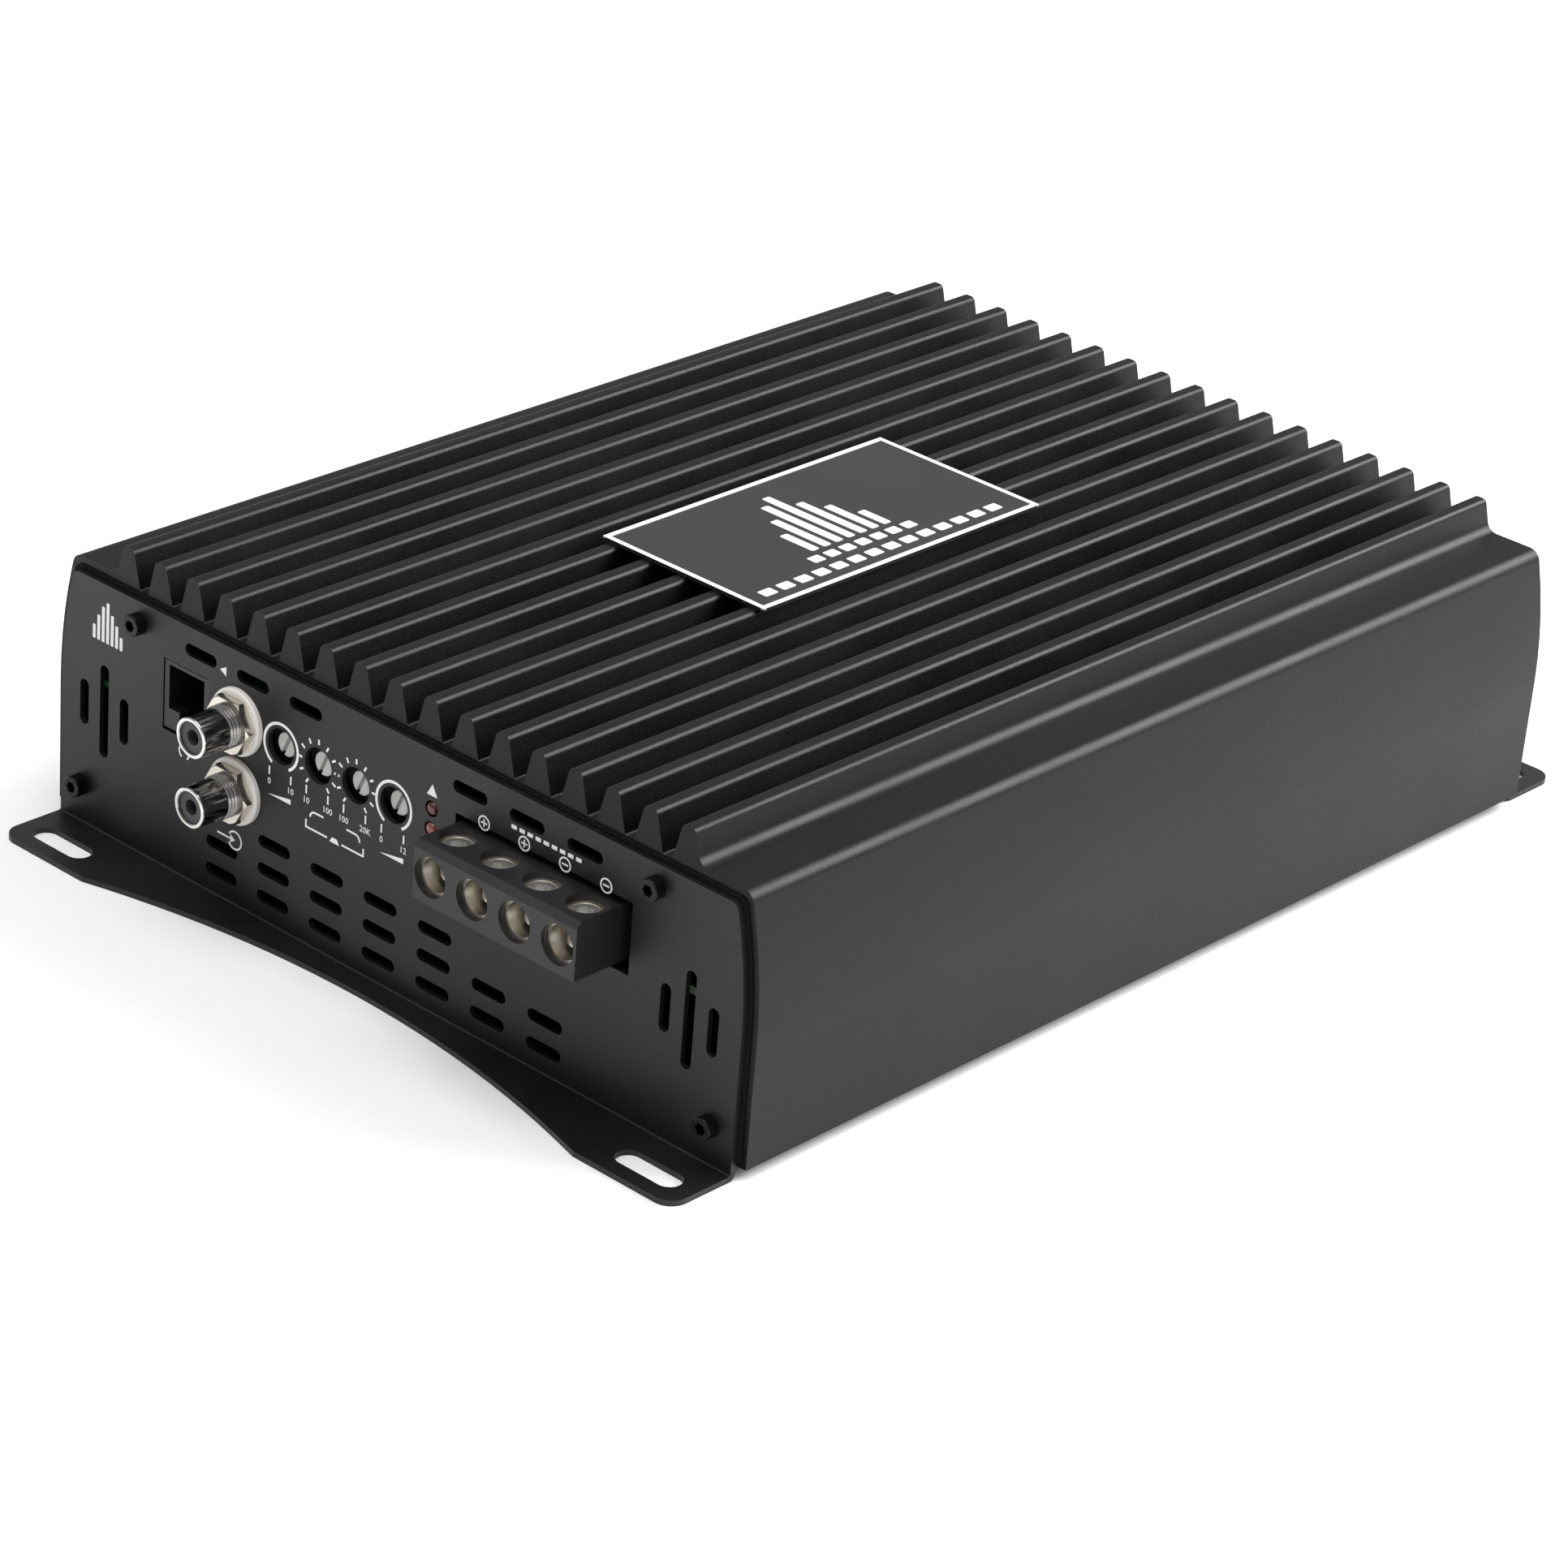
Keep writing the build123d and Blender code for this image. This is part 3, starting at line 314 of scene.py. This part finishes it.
# ---- printed marks on the connector panel ----
# White screen-printed ink: dials, their end values, polarity signs and plain pictograms in
# place of words. It is a few hundredths of a millimetre thick. Marks are placed in millimetres
# across the panel and up from the feet.
INK = 0.00003
INK_ROOT = -0.00001
DIGIT_FONT_RATIO = 1.4
DIGIT_MM = 1.35
LINE = 0.4
ink = finish("white_screen_print_ink", ("dcdcdc", "f2f2f2"), 0.62, 0.3, 0.004)
WASHER_THICK = 0.0012
panel_face_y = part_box("rca_washers")[0][1] + WASHER_THICK
on_panel = Matrix.Translation((0, panel_face_y, 0)) @ Matrix.Rotation(pi / 2, 4, "X")


def band(u, v, inner, outer, start, end, steps=24):
    """Outline of part of a ring, its angles in degrees anticlockwise from the right."""
    turns = [radians(start + (end - start) * k / steps) for k in range(steps + 1)]
    there = [(u + outer * cos(a), v + outer * sin(a)) for a in turns]
    back = [(u + inner * cos(a), v + inner * sin(a)) for a in reversed(turns)]
    return there + back


def box_outline(u0, u1, v0, v1):
    """Outline of an upright rectangle."""
    return [(u0, v0), (u1, v0), (u1, v1), (u0, v1)]


def tick(u, v, inner, outer, angle, width):
    """Outline of one radial mark."""
    a = radians(angle)
    along = Vector((cos(a), sin(a)))
    across = Vector((-sin(a), cos(a))) * width / 2
    near, far = along * inner, along * outer
    ends = (near - across, far - across, far + across, near + across)
    return [(u + end.x, v + end.y) for end in ends]


def write_number(text, height, u, v, mesh, place):
    """Add a number in the plain built-in face, centred on u and standing on v."""
    curve = bpy.data.curves.new("number", "FONT")
    curve.body = text
    curve.size = height * DIGIT_FONT_RATIO
    curve.align_x = "CENTER"
    curve.extrude = INK / 2
    curve.resolution_u = 2
    carrier = bpy.data.objects.new("number", curve)
    bpy.context.scene.collection.objects.link(carrier)
    bpy.context.view_layer.update()
    graph = bpy.context.evaluated_depsgraph_get()
    flat = bpy.data.meshes.new_from_object(carrier.evaluated_get(graph))
    bpy.data.objects.remove(carrier)
    flat.transform(place @ Matrix.Translation((u, v, INK / 2)))
    mesh.from_mesh(flat)
    bpy.data.meshes.remove(flat)


mesh = bmesh.new()


def mark(points):
    """Print one outline, given in millimetres, on the panel."""
    extrude_outline([(u / 1000, v / 1000) for u, v in points], INK_ROOT, INK, mesh, on_panel)


POT_X = [sum(corner[0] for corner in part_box(name)) / 2 * 1000 for name in (
    "gain_rotor", "high_pass_rotor", "low_pass_rotor", "bass_boost_rotor")]
POT_Z = sum(corner[2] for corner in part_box("gain_rotor")) / 2 * 1000
GAIN_X, HIGH_PASS_X, LOW_PASS_X, BASS_BOOST_X = POT_X

# Scales: an arc round the first and last dial, ticks round the middle two, and at both ends of
# every dial a short tick over a number.
for x in (GAIN_X, BASS_BOOST_X):
    mark(band(x, POT_Z, 4.45, 5.05, -60, 240, 40))
for x in (HIGH_PASS_X, LOW_PASS_X):
    for k in range(11):
        mark(tick(x, POT_Z, 4.5, 5.6, -55 + 29 * k, 0.45))
END_TICK_Z = (33.4, 35.2)
NUMBER_REACH = 3.0
NUMBER_Z = 31.4
for x, low, high in zip(POT_X, ("0", "10", "100", "0"), ("10", "100", "20K", "12")):
    mark(box_outline(x - 3.25, x - 2.85, *END_TICK_Z))
    mark(box_outline(x + 2.85, x + 3.25, *END_TICK_Z))
    for number, u in ((low, x - NUMBER_REACH), (high, x + NUMBER_REACH)):
        write_number(number, DIGIT_MM / 1000, u / 1000, NUMBER_Z / 1000, mesh, on_panel)

# Under the dials: a rising wedge for each level, and a filter's slope for each crossover.
WEDGE_HALF = 3.2
WEDGE_Z = (29.2, 30.3)
for x in (GAIN_X, BASS_BOOST_X):
    mark([(x - WEDGE_HALF, WEDGE_Z[0]), (x + WEDGE_HALF, WEDGE_Z[0]), (x + WEDGE_HALF, WEDGE_Z[1])])
SLOPE_Z = 28.9
SLOPE_R = 1.5
SLOPE_BEND_X = 0.4
SLOPE_FAR_X = 2.0
FLAT_Z = (SLOPE_Z + SLOPE_R - LINE, SLOPE_Z + SLOPE_R)
mark(band(HIGH_PASS_X - SLOPE_BEND_X, SLOPE_Z, SLOPE_R - LINE, SLOPE_R, 90, 180, 8))
mark(box_outline(HIGH_PASS_X - SLOPE_BEND_X, HIGH_PASS_X + SLOPE_FAR_X, *FLAT_Z))
mark(box_outline(LOW_PASS_X - SLOPE_FAR_X, LOW_PASS_X + SLOPE_BEND_X, *FLAT_Z))
mark(band(LOW_PASS_X + SLOPE_BEND_X, SLOPE_Z, SLOPE_R - LINE, SLOPE_R, 0, 90, 8))

# A bracket joins the two crossovers, with a small plate shape in its gap.
BRACKET_Z = 26.2
BRACKET_END_Z = BRACKET_Z + 1.8
BRACKET_LEFT = HIGH_PASS_X - 3.0
BRACKET_RIGHT = LOW_PASS_X + 3.0
BRACKET_GAP = (-15.3, -11.2)
for u0, u1 in ((BRACKET_LEFT, BRACKET_GAP[0]), (BRACKET_GAP[1], BRACKET_RIGHT)):
    mark(box_outline(u0, u1, BRACKET_Z, BRACKET_Z + LINE))
for u in (BRACKET_LEFT, BRACKET_RIGHT - LINE):
    mark(box_outline(u, u + LINE, BRACKET_Z + LINE, BRACKET_END_Z))
mark([(-14.6, 25.9), (-11.9, 25.9), (-12.6, 27.0), (-13.9, 27.0)])

# A ringed sign over each speaker terminal: plus on the first two, minus on the others.
SIGN_FIRST_X = 26.5
SIGN_PITCH = 10.6
SIGN_Z = 46.3
SIGN_ARM = 0.8
SIGN_HALF_LINE = 0.18
SIGN_BAR_Z = (SIGN_Z - SIGN_HALF_LINE, SIGN_Z + SIGN_HALF_LINE)
for k in range(4):
    x = SIGN_FIRST_X + SIGN_PITCH * k
    for turn in (0, 180):
        mark(band(x, SIGN_Z, 1.2, 1.55, turn, turn + 180, 16))
    mark(box_outline(x - SIGN_ARM, x + SIGN_ARM, *SIGN_BAR_Z))
    if k < 2:
        for v0, v1 in ((SIGN_BAR_Z[1], SIGN_Z + SIGN_ARM), (SIGN_Z - SIGN_ARM, SIGN_BAR_Z[0])):
            mark(box_outline(x - SIGN_HALF_LINE, x + SIGN_HALF_LINE, v0, v1))

# A row of dashes above the terminal block.
DASH_FIRST_X = 33.6
DASH_PITCH = 2.1
DASH_LENGTH = 1.4
for k in range(9):
    u = DASH_FIRST_X + DASH_PITCH * k
    mark(box_outline(u, u + DASH_LENGTH, 48.2, 49.0))

# The badge's level bars again, small and upright, at the panel's left.
LEVELS_X = -80.0
LEVELS_Z = 43.2
LEVELS_PITCH = 1.35
LEVELS_HALF = 0.42
for k, length in enumerate((3.0, 5.4, 7.6, 8.8, 6.6, 4.8, 2.8)):
    u = LEVELS_X + (k - 3) * LEVELS_PITCH
    mark(rounded(u - LEVELS_HALF, u + LEVELS_HALF, LEVELS_Z, LEVELS_Z + length, 0.15, 2))

# An arrowhead over the jacks, and under them an arrow that goes into a ring.
mark([(-46.9, 50.3), (-45.1, 49.3), (-45.1, 51.3)])
mark(band(-41.3, 15.2, 1.7, 2.1, -150, 150, 24))
mark(box_outline(-46.4, -42.4, 15.0, 15.4))
mark([(-42.6, 14.3), (-41.2, 15.2), (-42.6, 16.1)])

# A knob with its pointer under the remote socket, and a warning triangle over the lamps.
KNOB = (-56.6, 28.6)
mark(band(*KNOB, 1.3, 1.7, -60, 240, 24))
mark(tick(*KNOB, 0.1, 1.2, 65, 0.4))
mark([(11.2, 46.4), (14.0, 46.4), (12.6, 48.8)])
add_piece("panel_print", mesh, "chassis", [ink])


# ---- phono jacks ----
# Each shell is turned brass with a smoked chrome plate: a lip, plain barrel, then a fine
# thread that the nickel-plated nut runs on. The lip's front face carries a painted highlight: a much
# lighter copy of the same plate. White nylon washers keep it off the panel.
def spin_profile(points, x, z):
    """Spin a closed outline of (radius, y) about an axis along Y through x and z."""
    mesh = bmesh.new()
    loop = [mesh.verts.new((x + r, y, z)) for r, y in points]
    edges = [mesh.edges.new((a, b)) for a, b in zip(loop, loop[1:] + loop[:1])]
    bmesh.ops.spin(
        mesh, geom=loop + edges, cent=(x, 0, z), axis=(0, 1, 0), angle=tau, steps=72, use_merge=True
    )
    return mesh


shell_low, shell_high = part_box("rca_shells")
contact_low, contact_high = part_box("rca_centre_contacts")
JACK_X = (shell_low[0] + shell_high[0]) / 2
FLANGE_R = (shell_high[0] - shell_low[0]) / 2
JACK_Z = (shell_high[2] - FLANGE_R, shell_low[2] + FLANGE_R)
LIP_Y = shell_low[1]
BACK_Y = shell_high[1]
BORE_R = 0.0033
BARREL_R = 0.0042
ROOT_R = 0.0042
CREST_R = 0.0045
THREAD_START = LIP_Y + 0.0066
THREAD_PITCH = 0.00075
FLANGE_Y = (LIP_Y + 0.0146, LIP_Y + 0.0161)
MOUTH_BEVEL = 0.0002
RIM_ACROSS = 0.00025
RIM_ALONG = 0.0003
PAINTED_HIGHLIGHT_DEPTH = 0.00008

smoked_chrome = finish(
    "smoked_chrome_plate", ("8d8b8a", "a19f9d"), 0.14, 1.2, 0.003, metallic=1.0, spread=0.03
)
# Painted highlight: a lighter copy of the jack plate for the front face of the lip.
lip_painted_highlight = finish(
    "lip_painted_highlight_nickel", ("dedcd9", "efedea"), 0.12, 1.0, 0.002, metallic=1.0, spread=0.03
)
profile = [(BORE_R, LIP_Y + MOUTH_BEVEL), (BORE_R + MOUTH_BEVEL, LIP_Y)]
profile += [(BARREL_R - RIM_ACROSS, LIP_Y), (BARREL_R - 0.28 * RIM_ACROSS, LIP_Y + 0.3 * RIM_ALONG)]
profile += [(BARREL_R, LIP_Y + RIM_ALONG), (BARREL_R, THREAD_START - 0.0002)]
y = THREAD_START
while y + THREAD_PITCH < FLANGE_Y[0]:
    profile += [(ROOT_R - 0.00005, y), (CREST_R, y + THREAD_PITCH * 0.42)]
    profile += [(CREST_R, y + THREAD_PITCH * 0.58)]
    y += THREAD_PITCH
profile += [(ROOT_R, FLANGE_Y[0]), (FLANGE_R, FLANGE_Y[0]), (FLANGE_R, FLANGE_Y[1])]
profile += [(CREST_R, FLANGE_Y[1]), (CREST_R, BACK_Y), (BORE_R, BACK_Y)]
mesh = bmesh.new()
for z in JACK_Z:
    turned = spin_profile(profile, JACK_X, z)
    for face in turned.faces:
        # Faces at the very front of the lip get the painted highlight, the rest the plain plate.
        face.material_index = 1 if face.calc_center_median().y < LIP_Y + PAINTED_HIGHLIGHT_DEPTH else 0
    data = bpy.data.meshes.new("turned")
    turned.to_mesh(data)
    turned.free()
    mesh.from_mesh(data)
    bpy.data.meshes.remove(data)
jack_shells = add_piece(
    "phono_threaded_shells", mesh, "chassis", [smoked_chrome, lip_painted_highlight]
)
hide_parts("rca_shells")

nickel_plate = finish(
    "nickel_plated_brass", ("cfc8bd", "e2dcd2"), 0.20, 0.8, 0.006, metallic=1.0, spread=0.05
)
give(nickel_plate, "rca_nuts", "rca_centre_contacts")
give(finish("white_moulded_nylon", ("d9d5ce", "e6e2dc"), 0.48, 1.2, 0.010), "rca_washers")
give(finish("grey_moulded_insulator", ("343436", "424244"), 0.50, 0.8, 0.010), "rca_insulators")


# ---- remote level socket ----
# A black moulded modular socket set behind the panel, with six gold-flashed spring contacts
# that hang from the roof of its opening.
black_socket = finish("black_moulded_socket", ("070707", "121212"), 0.42, 0.7, 0.012)
give(black_socket, "remote_socket")
gold_flash = finish("gold_flashed_contact", ("a8832f", "c59c45"), 0.22, 0.6, 0.004, metallic=1.0)
give(gold_flash, "remote_socket_contacts", "input_board_pins")
give(
    finish("tinned_steel_lead", ("9c9da0", "b9babd"), 0.30, 0.6, 0.005, metallic=1.0), "lamp_leads"
)


# ---- level and filter controls ----
# Four small trimming potentiometers behind the panel. Each rotor is pale grey moulded plastic
# with a screwdriver slot, and turns in a black moulded body.
give(finish("black_moulded_pot_body", ("0a0a0b", "151516"), 0.50, 0.8, 0.012), "control_pot_bodies")
give(
    finish("pale_grey_moulded_rotor", ("b2b1ae", "c6c5c2"), 0.42, 0.9, 0.012),
    "gain_rotor", "high_pass_rotor", "low_pass_rotor", "bass_boost_rotor"
)


# ---- status lamps ----
# Two 3 mm lamps in tinted epoxy, both unlit. The upper is deep red, and the lower is a paler
# diffused red-brown. A moulded epoxy lens is glossy and slightly clear.
def lens(name, shades, clarity):
    """Tinted epoxy that passes some light."""
    made = finish(name, shades, 0.16, 0.9, 0.004, clear=0.6)
    shader = next(n for n in made.node_tree.nodes if n.bl_idname == "ShaderNodeBsdfPrincipled")
    shader.inputs["Transmission Weight"].default_value = clarity
    shader.inputs["IOR"].default_value = 1.5
    return made


give(lens("deep_red_epoxy_lens", ("4a0f0d", "641512"), 0.30), "protect_lamp")
give(lens("diffused_red_epoxy_lens", ("7a352a", "94483a"), 0.15), "power_lamp")


# ---- screw terminal blocks ----
# Black moulded housings hold one nickel-plated clamp cage per wire. A nickel-plated screw with
# a hexagon socket drives a zinc-plated pad down or up in each cage.
give(
    finish("black_moulded_terminal_housing", ("131315", "1f1f22"), 0.46, 0.6, 0.016),
    "speaker_terminal_housing", "power_terminal_housing"
)


def threaded_bore(name):
    """Nickel plate with fine turning marks 0.9 mm apart and a broader scuff."""
    made, tree, place = start_material(name)
    rings = add_node(
        tree, "ShaderNodeTexWave",
        {"Scale": 1000 / 0.9 / tau, "Distortion": 0.6, "Detail": 1.0, "Detail Scale": 2.0},
        {"Vector": place}, wave_type="BANDS", bands_direction="Y"
    )
    scuff = add_node(tree, "ShaderNodeTexNoise", {"Scale": 1000 / 1.4, "Detail": 4.0}, {"Vector": place})
    shade = add_node(
        tree, "ShaderNodeMix", {"A": srgb("c9c0b0"), "B": srgb("e6e0d4")},
        {"Factor": scuff.outputs["Fac"]}, data_type="RGBA"
    )
    gloss = add_node(
        tree, "ShaderNodeMapRange", {"To Min": 0.26, "To Max": 0.46}, {"Value": scuff.outputs["Fac"]}
    )
    bump = add_node(
        tree, "ShaderNodeBump", {"Strength": 0.5, "Distance": 0.00003}, {"Height": rings.outputs["Fac"]}
    )
    shader = add_node(
        tree, "ShaderNodeBsdfPrincipled", {"Metallic": 1.0},
        {"Base Color": shade.outputs["Result"], "Roughness": gloss.outputs[0],
         "Normal": bump.outputs[0]}
    )
    finish_material(tree, shader)
    return made


give(threaded_bore("nickel_plated_clamp_cage"), "speaker_terminal_clamps", "power_terminal_clamps")
screw_nickel = finish(
    "bright_nickel_plated_screw", ("f0eeea", "faf9f7"), 0.36, 0.5, 0.006, metallic=1.0, spread=0.05
)
give(screw_nickel, *[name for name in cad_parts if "_terminal_screw_" in name])
give(zinc_plate, *[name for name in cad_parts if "_pressure_pad_" in name])


# ---- circuit boards and chips ----
# Glass epoxy boards under a green solder mask, with raised copper tracks showing through it,
# and moulded epoxy chips.
def solder_mask(name):
    """Green mask over a maze of copper tracks."""
    made, tree, place = start_material(name)
    cells = add_node(
        tree, "ShaderNodeTexVoronoi", {"Scale": 1000 / 3.2, "Randomness": 0.75}, {"Vector": place},
        feature="DISTANCE_TO_EDGE"
    )
    track = add_node(
        tree, "ShaderNodeMapRange", {"From Min": 0.10, "From Max": 0.14, "To Min": 1.0, "To Max": 0.0},
        {"Value": cells.outputs["Distance"]}
    )
    shade = add_node(
        tree, "ShaderNodeMix", {"A": srgb("0d3d20"), "B": srgb("1f6a37")},
        {"Factor": track.outputs[0]}, data_type="RGBA"
    )
    bump = add_node(
        tree, "ShaderNodeBump", {"Strength": 0.6, "Distance": 0.00004}, {"Height": track.outputs[0]}
    )
    shader = add_node(
        tree, "ShaderNodeBsdfPrincipled", {"Roughness": 0.32, "Coat Weight": 0.3},
        {"Base Color": shade.outputs["Result"], "Normal": bump.outputs[0]}
    )
    finish_material(tree, shader)
    return made


give(solder_mask("green_solder_mask_board"), "main_board", "input_board", "driver_board")


def split_finish(name, shades, roughness, metal, where, above):
    """A plastic that turns to bare metal where one coordinate of the place passes a height."""
    made = finish(name, shades, roughness, 0.8, 0.010)
    tree = made.node_tree
    place = next(n for n in tree.nodes if n.bl_idname == "ShaderNodeTexCoord").outputs["Object"]
    parts = add_node(tree, "ShaderNodeSeparateXYZ", links={"Vector": place})
    passed = add_node(
        tree, "ShaderNodeMath", {1: above}, {0: parts.outputs[where]}, operation="GREATER_THAN"
    )
    plastic = next(n for n in tree.nodes if n.bl_idname == "ShaderNodeBsdfPrincipled")
    bare = add_node(
        tree, "ShaderNodeBsdfPrincipled",
        {"Base Color": srgb(metal), "Metallic": 1.0, "Roughness": 0.28}
    )
    blend = add_node(
        tree, "ShaderNodeMixShader",
        links={0: passed.outputs[0], 1: plastic.outputs[0], 2: bare.outputs[0]}
    )
    output = next(n for n in tree.nodes if n.bl_idname == "ShaderNodeOutputMaterial")
    tree.links.new(blend.outputs[0], output.inputs["Surface"])
    return made


LEADS_HIGH = 0.0019
LEAD_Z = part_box("power_transistors")[1][2] - LEADS_HIGH
give(
    split_finish("moulded_epoxy_and_tinned_leads", ("0d0d0e", "19191a"), 0.55, "b4b5b8", "Z", LEAD_Z),
    "power_transistors"
)
give(finish("moulded_epoxy_chip", ("0c0c0d", "171718"), 0.55, 0.7, 0.012), "signal_chips")


# ---- power stage under the main board ----
# Transistor rows pressed on silicone strips by bare aluminium bars, electrolytic capacitors in
# dark shrink sleeves, and two ferrite rings wound with enamelled copper wire.
give(finish("thin_silicone_sheet", ("8e9296", "a3a7ab"), 0.72, 0.6, 0.010), "insulator_strips")
give(
    finish("mill_finish_aluminium", ("b9babc", "cfd0d2"), 0.34, 0.5, 0.008, metallic=1.0,
           stretch=(1, 0.06, 1)),
    "clamp_bars"
)
BARE_CAN_HIGH = 0.0006
CAN_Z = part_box("reservoir_capacitors")[0][2] + BARE_CAN_HIGH
sleeve = split_finish(
    "shrink_sleeve_on_aluminium_can", ("14161f", "1e212c"), 0.30, "b5b6b9", "Z", CAN_Z
)
threshold = next(
    n for n in sleeve.node_tree.nodes
    if n.bl_idname == "ShaderNodeMath" and n.operation == "GREATER_THAN"
)
threshold.operation = "LESS_THAN"
give(sleeve, "reservoir_capacitors")
give(finish("sintered_ferrite", ("202022", "2d2d30"), 0.68, 0.5, 0.020),
     "transformer_core", "output_inductor_core")
enamel = finish(
    "enamelled_copper_wire", ("8a3f1c", "b0582b"), 0.24, 0.9, 0.004, metallic=0.85, clear=0.5
)


TURN_SPACING = 1.03
SMALLEST_BEND = 0.0006


def winding(name, node, inner, wall, layers, gap, gap_angles, wire_r):
    """Turns of round wire about a vertical ring core, in the space of the CAD winding."""
    low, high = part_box(node)
    mid_x = (low[0] + high[0]) / 2
    outer = (high[0] - low[0]) / 2
    mid_y = high[1] - outer
    curve = bpy.data.curves.new(name, "CURVE")
    curve.dimensions = "3D"
    curve.bevel_depth = wire_r
    curve.bevel_resolution = 1
    for layer in range(layers):
        inset = wire_r + layer * (wall - 2 * wire_r) / max(layers - 1, 1)
        r0, r1 = inner + inset, outer - inset
        z0, z1 = low[2] + inset, high[2] - inset
        bend = max(wall * 0.8 - inset, SMALLEST_BEND)
        section = rounded(r0, r1, z0, z1, bend, 3)
        blocked = asin(gap / 2 / r0) + wire_r / r0
        step = 2 * wire_r / r0 * TURN_SPACING
        stops = [radians(a) for a in gap_angles]
        for start, end in zip(stops, stops[1:] + [stops[0] + tau]):
            room = end - start - 2 * blocked
            count = int(room / step)
            for k in range(count):
                angle = start + blocked + (k + 0.5) * room / count
                spline = curve.splines.new("POLY")
                spline.points.add(len(section) - 1)
                spline.use_cyclic_u = True
                for point, (r, z) in zip(spline.points, section):
                    point.co = (mid_x + r * cos(angle), mid_y + r * sin(angle), z, 1)
    carrier = bpy.data.objects.new(name, curve)
    bpy.context.scene.collection.objects.link(carrier)
    bpy.context.view_layer.update()
    graph = bpy.context.evaluated_depsgraph_get()
    data = bpy.data.meshes.new_from_object(carrier.evaluated_get(graph))
    bpy.data.objects.remove(carrier)
    mesh = bmesh.new()
    mesh.from_mesh(data)
    bpy.data.meshes.remove(data)
    piece = add_piece(name, mesh, "chassis", [enamel], smooth=True)
    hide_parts(node)


winding("transformer_wire_turns", "transformer_winding", 0.0080, 0.0026, 2, 0.009, (45, 225), 0.00064)
winding("inductor_wire_turns", "output_inductor_winding", 0.0070, 0.0019, 1, 0.012, (90,), 0.00092)
